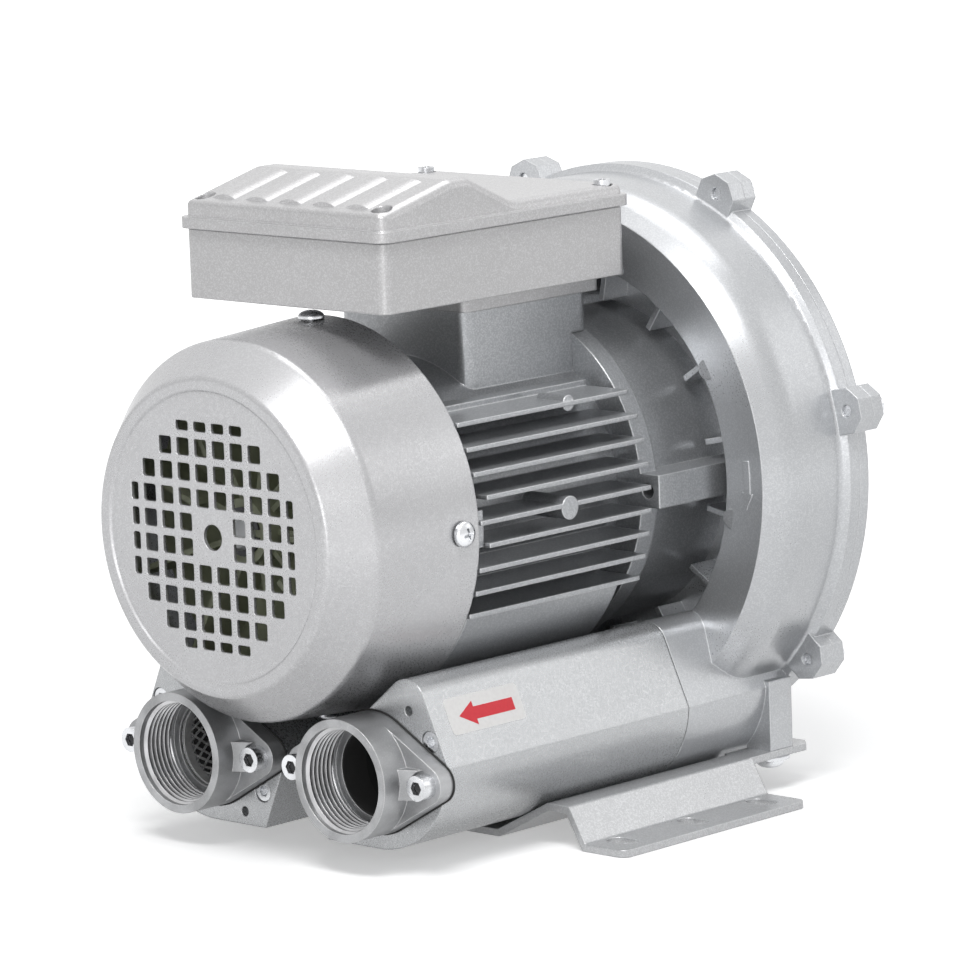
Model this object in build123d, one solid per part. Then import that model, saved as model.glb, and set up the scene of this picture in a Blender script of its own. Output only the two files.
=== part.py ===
from build123d import *
import math
import os

# A side channel blower: a single-phase motor carries an impeller that spins in a ring-shaped
# channel. Air enters and leaves through two silencers that lie side by side under the motor.
# Millimetres. The motor axis runs along Y with the fan end towards -Y. Every function draws its
# piece about that axis; save() lifts it so that the floor is z = 0 and the origin is the centre
# of the foot holes.

# ------------------------------------------------------------------ driving dimensions
port_height = 37.7             # port axes above the floor
floor_gap = 3.6                # lowest lug above the floor

# fits and clearances
thread_gap = 0.05              # between a screw and its tapped hole, on the radius
bolt_gap = 0.25                # between a screw and its clearance hole, on the radius
spigot_gap = 0.05              # between a spigot and the bore that centres it
running_gap = 0.05             # between a turning ring, ball or lip and its neighbour
joint_gap = 0.3                # between formed pieces that only lie beside each other
air_gap = 0.4                  # between rotor core and stator core
liner_gap = 0.2                # between foam, mesh tube and silencer walls
overcut = 1.0                  # how far a cut runs past the faces that it opens

# screws
screw_head_ratio = 1.67        # head of a socket screw to its shank

# fan cover
cover_face_y = -158.8
cover_length = 67.6
cover_radius = 78.5             # at the rim
cover_front_radius = 75.2       # where the side meets the bevel
cover_bevel_radius = 62.4       # where the bevel meets the face
cover_bevel_depth = 16.2
cover_bevel_round = 3.0
cover_side_round = 5.0
cover_wall = 1.6
cover_disc_radius = 56.8       # sunk disc inside the face bead
cover_disc_depth = 0.9
cover_eye_radius = 5.15
vent_pitch = 9.85
vent_size = 7.0
vent_limit = 44.8              # the outer vents end on this square
vent_corner = 1.0
vent_steps = 5                 # vents counted from the centre line to the edge
cover_screw_inset = 8.6        # from the rim to the side screws
cover_screw_count = 4
cover_screw_radius = 2.0
cover_screw_length = 6.0
cover_screw_seat = 5.4         # the head rests this far behind its axis

# motor frame
frame_front_y = -108.8
frame_end_y = 11.7
frame_bore = 53.0
frame_wall = 4.5
fin_tip_radius = 79.5
fin_pitch = 9.35
fin_thickness = 1.8
fin_middle_z = 2.8
fins_each_way = 4
fin_front_gap = 0.6            # between the cover rim and the fins
fin_end_gap = 4.5              # between the fins and the drive end
tray_radius = 78.2
tray_wall = 2.5
tray_end_gap = 15.2
tab_half_width = 7.2
tab_thickness = 5.0
tab_reach = 4.5                # how far a cover tab shows past the cover rim
neck_half_width = 35.0
neck_front_y = -49.8
neck_overhang = 10.5           # past the drive end of the frame
neck_rise = 7.0                # neck above the drive-end ring
neck_corner = 5.0
pad_half_width = 46.0
pad_top_z = 43.5
pad_low_z = 20.0
tray_web_x = 18.0
tab_web = 5.0
upper_boss = (-26.6, 40.2, 3.2)    # y, z and radius of an ejector boss
middle_boss = (-40.4, 1.6, 4.7)
boss_reach = 1.0               # bosses proud of the fins

shield_thickness = 4.0         # fan-side end shield
shield_screw_radius = 1.5
shield_screw_length = 14.0
shield_screw_count = 4
shield_screw_angle = 45.0
shield_hub_wall = 4.0
shield_opening_width = 18.0
shield_opening_inset = 8.0

# drive-end shield
ring_radius = 70.0
ring_length = 9.5
barrel_step = 4.0              # barrel inside the ring
barrel_wall = 6.0
shield_end_y = 67.2
shield_plate = 8.0
spigot_length = 5.0
spigot_wall = 4.0
lug_half_height = 6.7
lug_reach = 9.5                # lugs outside the ring
lug_root = 8.0                 # lugs inside the ring
lug_count = 4
flange_screw_radius = 3.0
flange_screw_length = 24.0
flange_screw_offset = 3.5      # screws outside the ring
seat_wall = 5.0                # round the front bearing
seat_lip = 2.0                 # in front of the front bearing

# bearings: bore, outside and width
rear_bearing = (17.0, 40.0, 12.0)
front_bearing = (20.0, 47.0, 14.0)
rear_bearing_y = -106.8        # front face
front_bearing_y = 40.2
race_share = 0.3               # each race takes this share of the ring's thickness
groove_depth = 1.2
cage_wall = 2.0
rear_balls = 7
front_balls = 8
preload_height = 1.6           # disc spring in front of the fan-side bearing
preload_sheet = 0.5
seal_radius = 17.5
seal_width = 6.0
seal_wall = 2.5
seal_lip = 2.0

# motor insides
core_front_y = -63.8
core_length = 55.0
stator_bore = 32.1
slot_count = 24
slot_depth = 12.0
slot_width = 4.6
slot_lip = 1.6
coil_reach = 14.0              # winding ends past the core
coil_radius = 49.5
rotor_ring_length = 5.0
rotor_ring_step = 2.0          # end rings inside the laminations
rotor_vane_length = 4.0
rotor_vane_count = 8
rotor_vane_thickness = 2.4
rotor_vane_inset = 3.0
rotor_vane_depth = 9.0
winding_round = 4.0
winding_gap = 0.5

# shaft
shaft_front_y = -144.8
shaft_body_radius = 12.0
fan_seat_radius = 7.0
impeller_seat_radius = 9.0
shaft_chamfer = 1.0
shaft_end_gap = 2.0            # shaft end inside the impeller hub
key_width = 6.0
key_height = 6.0
key_start = 3.0                # keyway inside the hub's front face
key_end = 4.0                  # and inside its back face
end_screw_radius = 3.0
end_screw_length = 20.0
end_washer_radius = 15.0
end_washer_thickness = 3.0

# cooling fan
fan_radius = 68.0
fan_front_y = -144.0
fan_depth = 26.0
fan_plate = 2.5
fan_blade_count = 9
fan_blade_thickness = 2.2
fan_blade_step = 9.0           # blades lower near the hub
fan_blade_step_reach = 14.0
fan_hub_radius = 13.0
circlip_width = 2.6
circlip_thickness = 1.0
circlip_opening = 3.2

# blower housing
joint_y = 87.7                 # where housing and cover meet
rim_step = 3.3                 # rim outside the band
rim_front = 6.0
rim_back = 5.2
rim_slope = 2.5
band_wall = 4.2                # band outside the channel
shoulder_inset = 8.4           # sharp front edge of the bulge inside the band
shoulder_y = 41.1
bulge_y = 52.0
bulge_round = 18.0
recess_gap = 4.7               # recess wall outside the drive-end lugs
annulus_y = 46.4
hub_wall = 6.0
channel_wall = 4.0             # between recess and channel
channel_width = 24.2
channel_front_y = 50.0
channel_round = 10.0
recess_rib_count = 16
recess_rib_depth = 14.0
recess_rib_length = 15.0
recess_rib_thickness = 2.4
pad_count = 9
pad_radius = 4.0
pad_offset = 4.4               # pads outside the recess wall
pad_angle = -9.7
pad_height = 1.2
housing_lug_count = 7
lug_angle = 12.5
lug_circle_offset = 3.1        # cover bolts outside the rim
lug_front_y = 79.8
lug_half_width = 9.3
lug_tip_half_width = 4.0
lug_shoulder = 2.0             # lug shoulder outside the bolts
lug_tip = 7.2                  # lug tip outside the bolts
lug_back = 6.0
cover_bolt_radius = 2.5
cover_bolt_length = 12.6
leg_inset = 0.5
leg_thread = 11.0

# housing cover
cover_back_y = 117.2
cover_hub_recess = 15.0
cover_wall_back = 7.5
cover_channel_round = 3.0
cover_edge_round = 5.0         # from the bevel to the back
cover_step = 1.4                # bevel inside the rim
cover_rib_count = 8
cover_rib_drop = 8.0
cover_boss_drop = 6.0
cover_screw_pocket = 16.0      # radius of the space round the shaft end
cover_pocket_depth = 6.0
cover_rib_thickness = 3.0
cover_boss_radius = 24.0

# impeller
impeller_tip_gap = 0.8         # impeller inside the channel
impeller_width = 18.0
impeller_side_gap = 1.0
impeller_web = 5.0
impeller_hub_radius = 20.0
impeller_blade_count = 36
impeller_spoke_count = 6
impeller_spoke_thickness = 3.0
impeller_spoke_width = 14.0
impeller_ring = 3.0            # inner ring of the pockets
pocket_depth = 5.0             # half the wall between the pocket rows at the inner ring
pocket_slope = 2.0
pocket_run = 8.0
impeller_blade_thickness = 2.0
impeller_rib_width = 2.4       # ring between the two rows of pockets

# silencers and their ports
port_x = 45.8
port_gap = 1.5                 # between the fan cover and a flange's neck
silencer_front_y = -119.3
silencer_length = 138.8
silencer_wall = 3.2
silencer_arc = 39.0
silencer_arc_rise = 8.4        # centre of the arc above the port axis
silencer_arc_end = -4.0        # angle at which the arc meets the outer flat
motor_gap = 2.1                # between the fan cover's envelope and the silencers
motor_side_angle = -51.0       # direction of the normal of the side next to the motor
motor_side_down = 57.0         # length of that side below the normal
motor_side_up = 21.5           # and above it
silencer_foot_x = 17.6         # inner end of the flat bottom
silencer_peak_round = 10.0
silencer_inner_round = 6.0
gasket_thickness = 0.5
mesh_radius = 17.5
mesh_wall = 0.8
passage_radius = 11.0
silencer_cap = 6.0             # closed port end of a silencer
silencer_screw_offsets = [(29.4, 15.2), (-27.3, -15.8)]   # x and z from the port axis
silencer_screw_radius = 2.5
silencer_screw_sink = 5.5
silencer_screw_thread = 10.0
silencer_screw_wall = 3.0      # column of the section round each long screw
spare_hole_offsets = [(18.5, 26.2), (-16.8, -25.3)]       # tapped holes for a bracket
spare_hole_radius = 2.0

# port flanges
port_thread_radius = 20.95     # major radius of the G 1-1/4 pipe thread
port_thread_length = 19.0
flange_neck_radius = 24.3
flange_mouth_y = -139.8
flange_plate = 7.0
flange_lug_x = 34.0
flange_lug_radius = 7.5
flange_bolt_radius = 3.0
flange_ramp_y = -132.0
flange_ramp_width = 12.0
flange_ramp_foot = 3.0         # ramps past the bolts
flange_seat_gap = 1.2          # round the heads of the bolts
gasket_proud = 0.6

# foot bracket
sheet = 3.0
bracket_front_y = -54.8
bracket_length = 109.3
crest_offset = 30.1            # crest outside the port axis
crest_width = 9.1
crest_rise = 14.0
inner_run = 27.5               # run of the slope under a silencer
outer_run = 8.0                # run of the slope down to the foot flange
foot_flange_width = 22.6
foot_hole_inset = 13.1         # from the outer edge
foot_y = 41.5
slot_half_width = 4.5
slot_total = 14.0
tab_in_margin = 2.9            # tab past the inner bend of the crest
tab_out_margin = 2.0           # and past the outer bend
tab_end_y = 92.2
leg_front_y = 66.7
leg_length = 13.6
foot_screw_radius = 3.0
foot_screw_length = 12.0
bend_radius = 1.2
flange_corner = 4.0
tab_chamfer = 4.0

# terminal box
collar_half_width = 38.5
collar_front_y = -52.8
collar_end_y = 26.2
collar_height = 7.7
box_half_width = 55.0
box_front_y = -113.9
box_end_y = 23.9
box_height = 27.3
box_wall = 2.5
box_corner = 4.2
lip_overhang = 2.5
lip_height = 4.9
lid_wall = 2.5
lid_edge_rise = 6.3
lid_crest_y = -69.0
lid_crest_rise = 16.0
lid_rear_y = -39.5
lid_rear_rise = 4.0
ridge_count = 5
ridge_radius = 14.0
ridge_height = 1.1
ridge_margin = 9.0
ridge_gap = 1.0
ridge_start = 5.0
lid_front_round = 2.0
crest_front = 6.0              # flat top in front of the crest line
crest_back = 4.0               # and behind it
crest_rounds = (9.0, 6.0)
rear_round = 8.0
lid_screw_inset = 6.3
box_screw_radius = 2.0
entry_y = -68.0
plug_y = -37.0
gland_radius = 10.0
gland_bore = 5.0
gland_hex = 24.0
capacitor_radius = 14.0
capacitor_length = 62.0
capacitor_y = -8.0
strap = 1.0
strap_width = 14.0
entry_rise = 12.7              # cable entries above the outer floor of the box
gland_hex_length = 6.0
gland_neck_length = 14.0
gland_nut_length = 20.0
gland_nut_step = 5.0
gland_wall = 3.0
gland_neck_step = 0.5          # clamping neck inside the thread
gland_bore_margin = 1.4        # cap nut outside the seal's bore
gland_thread = 6.0             # thread past the inner wall
plug_head = 4.0
plug_head_margin = 2.5
collar_screw_x = 27.0
collar_screws_y = (-40.8, 5.7)
duct_y = -19.0
duct_radius = 11.0
lid_post_radius = 4.5
lid_well_radius = 4.2
lid_screw_seat = 2.0           # screw seats above the top of the lip
lid_thread = 12.0
box_screw_thread = 9.0
box_hole_depth = 12.0
board_half = 24.0
board_height = 7.0
board_y = -60.0
barrier_height = 4.0
barrier_thickness = 2.0
stud_radius = 2.0
stud_height = 6.0
nut_height = 2.4
earth_x = 40.0
earth_y = -85.0
earth_screw_length = 1.4
clip_foot = 7.0
capacitor_rim = 2.0            # width and height of the can's rim

# ------------------------------------------------------------------ sizes that follow
port_reach = cover_radius + port_gap + flange_neck_radius
port_z = -math.sqrt(port_reach ** 2 - port_x ** 2)
axis_height = port_height - port_z
floor_z = -axis_height
cover_rim_y = cover_face_y + cover_length
cover_inner_radius = cover_radius - cover_wall
cover_bevel_end_y = cover_face_y + cover_bevel_depth
cover_taper = (cover_radius - cover_front_radius) / (cover_rim_y - cover_bevel_end_y)
cover_screw_y = cover_rim_y - cover_screw_inset
frame_radius = frame_bore + frame_wall
fin_front_y = cover_rim_y + fin_front_gap
fin_end_y = frame_end_y - fin_end_gap
tab_outer_x = cover_inner_radius - joint_gap
shield_front_y = frame_front_y - shield_thickness
shield_screw_circle = frame_bore + frame_wall / 2
core_end_y = core_front_y + core_length
fan_back_y = fan_front_y + fan_depth
rear_shoulder_y = rear_bearing_y + rear_bearing[2]
barrel_radius = ring_radius - barrel_step
lug_outer_x = ring_radius + lug_reach
lug_inner_x = ring_radius - lug_root
flange_screw_circle = ring_radius + flange_screw_offset
annulus_radius = lug_outer_x + recess_gap
channel_inner = annulus_radius + channel_wall
channel_outer = channel_inner + channel_width
band_radius = channel_outer + band_wall
shoulder_radius = band_radius - shoulder_inset
rim_radius = band_radius + rim_step
lug_circle = rim_radius + lug_circle_offset
impeller_radius = channel_outer - impeller_tip_gap
hub_front_y = shield_end_y + hub_wall
impeller_front_y = hub_front_y + impeller_side_gap
impeller_end_y = impeller_front_y + impeller_width
key_front_y = impeller_front_y + key_start
key_back_y = impeller_end_y - key_end
cover_plate_y = impeller_end_y + impeller_side_gap
silencer_end_y = silencer_front_y + silencer_length
stub_front_y = silencer_end_y + gasket_thickness
silencer_arc_z = port_z + silencer_arc_rise
motor_clearance = cover_radius + motor_gap
silencer_screws_at = [(port_x + x, port_z + z) for x, z in silencer_screw_offsets]
spare_holes_at = [(port_x + x, port_z + z) for x, z in spare_hole_offsets]
flange_back_y = silencer_front_y - gasket_thickness
flange_plate_y = flange_back_y - flange_plate
crest_in_x = port_x + crest_offset
crest_out_x = crest_in_x + crest_width
valley_x = crest_in_x - inner_run
flange_in_x = crest_out_x + outer_run
flange_out_x = flange_in_x + foot_flange_width
foot_x = flange_out_x - foot_hole_inset
tab_in_x = crest_in_x - tab_in_margin
tab_out_x = crest_out_x + tab_out_margin
bracket_end_y = bracket_front_y + bracket_length
crest_z = floor_z + sheet + crest_rise
leg_x = (tab_in_x + tab_out_x) / 2
leg_y = leg_front_y + leg_length / 2
neck_top_z = ring_radius + neck_rise
box_floor_z = neck_top_z + collar_height
inner_floor_z = box_floor_z + box_wall
lip_z = box_floor_z + box_height
lip_top_z = lip_z + lip_height
lid_low_z = lip_z + gasket_thickness
crest_top_z = lip_top_z + lid_crest_rise
lid_screw_seat_z = lip_top_z + lid_screw_seat
entry_z = box_floor_z + entry_rise


# ------------------------------------------------------------------ helpers
def along_y(face, y_from, y_to):
    """Extrude a face drawn in x and z from one station of the motor axis to another."""
    return Pos(0, y_to, 0) * extrude(Plane.XZ * face, y_to - y_from)


def rod(radius, y_from, y_to, x=0.0, z=0.0):
    """A round bar along the motor axis."""
    return along_y(Pos(x, z) * Circle(radius), y_from, y_to)


def turned(points, radii=None):
    """Turn an outline of (radius, y) points about the motor axis, with rounded corners."""
    if radii is None:
        outline = Polyline(*points, close=True)
    else:
        outline = FilletPolyline(*points, radius=radii, close=True)
    return revolve(make_face(outline), Axis.Y)


def block(x, y, z):
    """A box between pairs of coordinates."""
    centre = Pos((x[0] + x[1]) / 2, (y[0] + y[1]) / 2, (z[0] + z[1]) / 2)
    return centre * Box(x[1] - x[0], y[1] - y[0], z[1] - z[0])


def turn(shape, degrees):
    """Swing a piece about the motor axis, from +X towards +Z."""
    return Rot(0, -degrees, 0) * shape


def ring_of(shape, count, start=0.0):
    """Copies of a piece, evenly spaced about the motor axis."""
    return [turn(shape, start + i * 360.0 / count) for i in range(count)]


def both_sides(shape):
    """A piece and its mirror image across the middle plane."""
    return [shape, mirror(shape, about=Plane.YZ)]


def group(shapes):
    """Separate solids kept together under one name."""
    solids = []
    for shape in shapes:
        solids += shape.solids()
    return Compound(children=solids)


def save(name, shape):
    """Write one piece, lifted so that the floor is z = 0."""
    lifted = [Pos(0, 0, axis_height) * solid for solid in shape.solids()]
    export_step(Compound(children=lifted), os.path.join("parts", name + ".step"))


def cap_screw(radius, length):
    """A socket-head screw: head above z = 0, shank below, hexagon socket."""
    head = Pos(0, 0, radius) * Cylinder(radius * screw_head_ratio, radius * 2)
    shank = Pos(0, 0, -length / 2) * Cylinder(radius, length)
    socket = extrude(Plane.XY.offset(radius) * RegularPolygon(radius * 0.95, 6), radius * 1.1)
    return head + shank - socket


def hex_screw(radius, length):
    """A hexagon-head screw with its head above z = 0."""
    head = extrude(RegularPolygon(radius * 1.85, 6), radius * 1.3)
    return head + Pos(0, 0, -length / 2) * Cylinder(radius, length)


def pan_screw(radius, length):
    """A pan-head screw: a domed head above z = 0 on its own washer face."""
    head_radius = radius * 2.0
    washer_radius = radius * 2.7
    washer = radius * 0.5
    crown = radius * 1.15
    edges = FilletPolyline((0, washer), (0, washer + crown), (head_radius, washer + crown),
                           (head_radius, washer), radius=[0, crown * 0.9])
    outline = make_face(edges + Line((head_radius, washer), (0, washer)))
    head = revolve(Plane.XZ * outline, Axis.Z)
    plate = Pos(0, 0, washer / 2) * Cylinder(washer_radius, washer)
    return head + plate + Pos(0, 0, -length / 2) * Cylinder(radius, length)


def flat_screw(radius, length):
    """A countersunk screw with its head's flat face at z = 0."""
    cone = Pos(0, 0, -radius / 2) * Cone(radius, radius * 2, radius)
    return cone + Pos(0, 0, -length / 2) * Cylinder(radius, length)


# ------------------------------------------------------------------ fan end
def vent_openings():
    """The square vents of the fan cover: a grid clipped by a square, without its corners."""
    openings = []
    for column in range(vent_steps):
        for row in range(vent_steps):
            if column + row > vent_steps or column + row == 0:
                continue
            low = [vent_pitch * (step + 0.5) - vent_size / 2 for step in (column, row)]
            high = [min(start + vent_size, vent_limit) for start in low]
            vent = RectangleRounded(high[0] - low[0], high[1] - low[1], vent_corner)
            x, z = (low[0] + high[0]) / 2, (low[1] + high[1]) / 2
            openings += [Pos(sx * x, sz * z) * vent for sx in (-1, 1) for sz in (-1, 1)]
    return openings


def cover_side(y):
    """Outer radius of the cover's side, which widens a little towards the rim."""
    return cover_radius - cover_taper * (cover_rim_y - y)


def fan_cover():
    """Pressed cover: tapered side, bevel, face bead, sunk vented disc and a centre eye."""
    face = cover_face_y
    disc = face + cover_disc_depth
    bead = cover_disc_radius + cover_disc_depth
    outline = [(cover_eye_radius, disc), (cover_disc_radius, disc), (bead, face),
               (cover_bevel_radius, face), (cover_front_radius, cover_bevel_end_y),
               (cover_radius, cover_rim_y), (cover_inner_radius, cover_rim_y),
               (cover_front_radius - cover_wall, cover_bevel_end_y),
               (cover_bevel_radius - cover_wall / 2, face + cover_wall),
               (bead + cover_wall, face + cover_wall), (bead, disc + cover_wall),
               (cover_eye_radius, disc + cover_wall)]
    inner_round = cover_side_round - cover_wall
    shell = turned(outline, [0, 0, 0, cover_bevel_round, cover_side_round, 0, 0, inner_round,
                             cover_bevel_round - cover_wall, 0, 0, 0])
    vents = [along_y(vent, face, disc + 2 * cover_wall) for vent in vent_openings()]
    hole = Rot(0, 90, 0) * Cylinder(cover_screw_radius + bolt_gap, 4 * cover_wall)
    hole = Pos(cover_side(cover_screw_y), cover_screw_y, 0) * hole
    return shell - vents - ring_of(hole, cover_screw_count)


def fan_cover_screws():
    """Pan-head screws through the side of the cover into the frame's tabs."""
    screw = pan_screw(cover_screw_radius, cover_screw_length)
    seat = cover_side(cover_screw_y + cover_screw_seat)
    screw = Pos(seat, cover_screw_y, 0) * Rot(0, 90, 0) * screw
    return group(ring_of(screw, cover_screw_count))


def cooling_fan():
    """Radial fan: a back plate, straight blades and a hub on the shaft."""
    plate_y = fan_back_y - fan_plate
    half = fan_blade_thickness / 2
    plate = rod(fan_radius, plate_y, fan_back_y)
    hub = rod(fan_hub_radius, fan_front_y + fan_plate, fan_back_y)
    high = block((fan_hub_radius + fan_blade_step_reach, fan_radius), (fan_front_y, plate_y), (-half, half))
    low = block((fan_seat_radius, fan_radius), (fan_front_y + fan_blade_step, plate_y), (-half, half))
    body = plate + hub + ring_of(high + low, fan_blade_count)
    return body - rod(fan_seat_radius, fan_front_y - overcut, fan_back_y + overcut)


def fan_retaining_ring():
    """Circlip in front of the fan hub."""
    back = fan_front_y + fan_plate
    front = back - circlip_thickness
    ring = rod(fan_seat_radius + circlip_width, front, back)
    ring -= rod(fan_seat_radius, front - overcut, back + overcut)
    return ring - block((0, fan_seat_radius * 2), (front - overcut, back + overcut),
                        (-circlip_opening / 2, circlip_opening / 2))


def shield_screw_holes(radius, y_from, y_to):
    """Round bars at the places of the end shield's screws."""
    hole = rod(radius, y_from, y_to, x=shield_screw_circle)
    return ring_of(hole, shield_screw_count, shield_screw_angle)


def rear_end_shield():
    """Fan-side end shield: a plate with air openings, a spigot in the frame and a bearing hub."""
    seat = rear_bearing[1] / 2
    half = shield_opening_width / 2
    plate = rod(frame_radius, shield_front_y, frame_front_y)
    hub = rod(seat + shield_hub_wall, shield_front_y, rear_shoulder_y)
    spigot = rod(frame_bore - spigot_gap, frame_front_y, frame_front_y + spigot_length)
    spigot -= rod(frame_bore - spigot_wall, frame_front_y - overcut, rear_shoulder_y)
    opening = block((seat + shield_hub_wall + spigot_length, frame_bore - shield_opening_inset),
                    (shield_front_y - overcut, frame_front_y + overcut), (-half, half))
    body = plate + hub + spigot - ring_of(opening, shield_screw_count)
    body -= rod(seat, rear_bearing_y - preload_height, rear_shoulder_y + overcut)
    body -= rod(rear_bearing[0] / 2 + seat_lip, shield_front_y - overcut, rear_shoulder_y)
    return body - shield_screw_holes(shield_screw_radius + bolt_gap, shield_front_y - overcut,
                                     frame_front_y + overcut)


def rear_shield_screws():
    """Screws that hold the fan-side end shield to the frame."""
    seat = Pos(shield_screw_circle, shield_front_y, 0) * Rot(90, 0, 0)
    screw = seat * cap_screw(shield_screw_radius, shield_screw_length)
    return group(ring_of(screw, shield_screw_count, shield_screw_angle))


# ------------------------------------------------------------------ motor frame
def frame_fins():
    """Level fins on both sides of the frame, cut to the round envelope of the motor."""
    fins = []
    for step in range(-fins_each_way, fins_each_way + 1):
        z = fin_middle_z + step * fin_pitch
        half = math.sqrt(fin_tip_radius ** 2 - z ** 2)
        start = fin_front_y + (tab_reach if abs(step) == 1 else 0)
        fins.append(block((-half, half), (start, fin_end_y),
                          (z - fin_thickness / 2, z + fin_thickness / 2)))
    return fins


def frame_tray():
    """Smooth lower skirt of the frame, from the lowest fin down, with stiffening webs."""
    top = fin_middle_z - fins_each_way * fin_pitch
    end = frame_end_y - tray_end_gap
    skirt = rod(tray_radius, fin_front_y, end)
    skirt -= rod(tray_radius - tray_wall, fin_front_y - overcut, end + overcut)
    skirt &= block((-tray_radius, tray_radius), (fin_front_y, end), (-tray_radius, top))
    web = block((tray_web_x, tray_web_x + fin_thickness), (fin_front_y, end),
                (-tray_radius + 2 * tray_wall, -frame_bore))
    return [skirt] + both_sides(web)


def frame_neck():
    """The neck that carries the terminal box, cut round where it meets the drive end."""
    end = frame_end_y + neck_overhang
    neck = block((-neck_half_width, neck_half_width), (neck_front_y, end),
                 (pad_top_z - overcut, neck_top_z))
    neck = fillet(neck.edges().filter_by(Axis.Z), neck_corner)
    neck -= rod(ring_radius + joint_gap, frame_end_y, end + overcut)
    return neck


def frame_tab():
    """One of the tabs that the fan cover is screwed to, with its web."""
    end = cover_rim_y + tab_reach
    plate = block((tab_outer_x - tab_thickness, tab_outer_x), (frame_front_y, end),
                  (-tab_half_width, tab_half_width))
    web = block((frame_bore + overcut, tab_outer_x - overcut), (frame_front_y, end),
                (-tab_web / 2, tab_web / 2))
    front = cover_side(frame_front_y) - cover_wall - joint_gap
    return (plate + web) & turned([(0, frame_front_y), (front, frame_front_y), (tab_outer_x, cover_rim_y),
                                   (tab_outer_x, end), (0, end)])


def frame_boss(y, z, radius):
    """A round ejector boss that ends just outside the fins."""
    tip = math.sqrt(fin_tip_radius ** 2 - (abs(z) + radius) ** 2) + boss_reach
    reach = min(fin_tip_radius, tip)
    return Pos((frame_bore + reach) / 2, y, z) * Rot(0, 90, 0) * Cylinder(radius, reach - frame_bore)


def motor_frame():
    """Finned die-cast frame with the terminal neck, the cover tabs and the ejector bosses."""
    body = rod(frame_radius, frame_front_y, frame_end_y)
    body += block((-pad_half_width, pad_half_width), (fin_front_y, fin_end_y), (pad_low_z, pad_top_z))
    body += frame_fins()
    body += frame_tray()
    body += frame_neck()
    body += ring_of(frame_tab(), cover_screw_count)
    for y, z, radius in (upper_boss, middle_boss):
        body += both_sides(frame_boss(y, z, radius))
    body -= rod(frame_bore, frame_front_y - overcut, frame_end_y + overcut)
    tapped = Cylinder(cover_screw_radius + thread_gap, cover_screw_length * 3)
    body -= ring_of(Pos(tab_outer_x, cover_screw_y, 0) * Rot(0, 90, 0) * tapped, cover_screw_count)
    duct = Pos(0, duct_y, neck_top_z) * Cylinder(duct_radius, 2 * (neck_top_z - frame_bore + neck_rise))
    body -= duct & block((-duct_radius, duct_radius), (neck_front_y, frame_end_y), (0, neck_top_z + overcut))
    body -= collar_holes(box_screw_radius + thread_gap, neck_top_z - box_hole_depth, neck_top_z + overcut)
    return body - shield_screw_holes(shield_screw_radius + thread_gap, frame_front_y - overcut,
                                     frame_front_y + shield_screw_length - joint_gap)


# ------------------------------------------------------------------ drive end
def drive_end_lugs():
    """Lugs that carry the blower housing; the top one ends below the terminal collar."""
    lug = block((lug_inner_x, lug_outer_x), (frame_end_y, shield_end_y),
                (-lug_half_height, lug_half_height))
    below_collar = block((-neck_half_width, neck_half_width),
                         (frame_end_y - overcut, collar_end_y + joint_gap),
                         (ring_radius - overcut, box_floor_z))
    return [piece - below_collar for piece in ring_of(lug, lug_count)]


def drive_end_shield():
    """Drive-end shield: flange ring, smooth barrel, bearing hub and lugs to the housing."""
    front = frame_end_y
    seat = front_bearing[1] / 2
    plate_y = shield_end_y - shield_plate
    inside = frame_bore - spigot_wall
    body = rod(ring_radius, front, front + ring_length) + rod(barrel_radius, front, shield_end_y)
    body += drive_end_lugs()
    body -= rod(barrel_radius - barrel_wall, front - overcut, plate_y)
    body += rod(seat + seat_wall, front_bearing_y - seat_lip, plate_y + overcut)
    collar = rod(frame_bore - spigot_gap, front - spigot_length, front)
    collar += rod(barrel_radius - overcut, front, front + spigot_wall)
    body += collar - rod(inside, front - 2 * spigot_length, front + 2 * spigot_wall)
    body -= rod(seat, front_bearing_y, front_bearing_y + front_bearing[2])
    body -= rod(front_bearing[0] / 2 + 2 * seat_lip, front_bearing_y - seat_wall, front_bearing_y + overcut)
    body -= rod(seal_radius - seat_lip, front_bearing_y, shield_end_y)
    body -= rod(seal_radius, shield_end_y - seal_width, shield_end_y + overcut)
    tapped = rod(flange_screw_radius + thread_gap, front - overcut, shield_end_y + overcut,
                 x=flange_screw_circle)
    return body - ring_of(tapped, lug_count)


def flange_screws():
    """Countersunk screws from the impeller side into the drive-end shield's lugs."""
    screw = Pos(flange_screw_circle, hub_front_y, 0) * Rot(-90, 0, 0)
    return group(ring_of(screw * flat_screw(flange_screw_radius, flange_screw_length), lug_count))


def shaft_seal():
    """Lip seal in the drive-end shield."""
    front = shield_end_y - seal_width
    wall = seal_radius - seal_wall
    lip = front_bearing[0] / 2 + running_gap
    outline = [(seal_radius, front), (seal_radius, shield_end_y), (lip + seal_lip, shield_end_y),
               (lip, shield_end_y - seal_lip / 2), (lip + seal_lip, shield_end_y - seal_wall),
               (wall, front + seal_lip), (wall, front)]
    return turned(outline)


# ------------------------------------------------------------------ bearings
def bearing_sizes(bearing, front):
    """Radii and stations shared by the races, balls and cage of one ball bearing."""
    bore, outside, width = bearing[0] / 2, bearing[1] / 2, bearing[2]
    race = (outside - bore) * race_share
    pitch = (bore + outside) / 2
    ball = (outside - bore) / 2 - race + groove_depth
    return bore, outside, race, pitch, ball, front, front + width


def groove(pitch, ball, middle):
    """The ring-shaped track that the balls roll in."""
    return revolve(Pos(pitch, middle) * Circle(ball + running_gap), Axis.Y)


def bearing_outer(bearing, front_y):
    """Outer race of a ball bearing."""
    _, outside, race, pitch, ball, front, back = bearing_sizes(bearing, front_y)
    ring = rod(outside, front, back) - rod(outside - race, front - overcut, back + overcut)
    return ring - groove(pitch, ball, (front + back) / 2)


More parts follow.
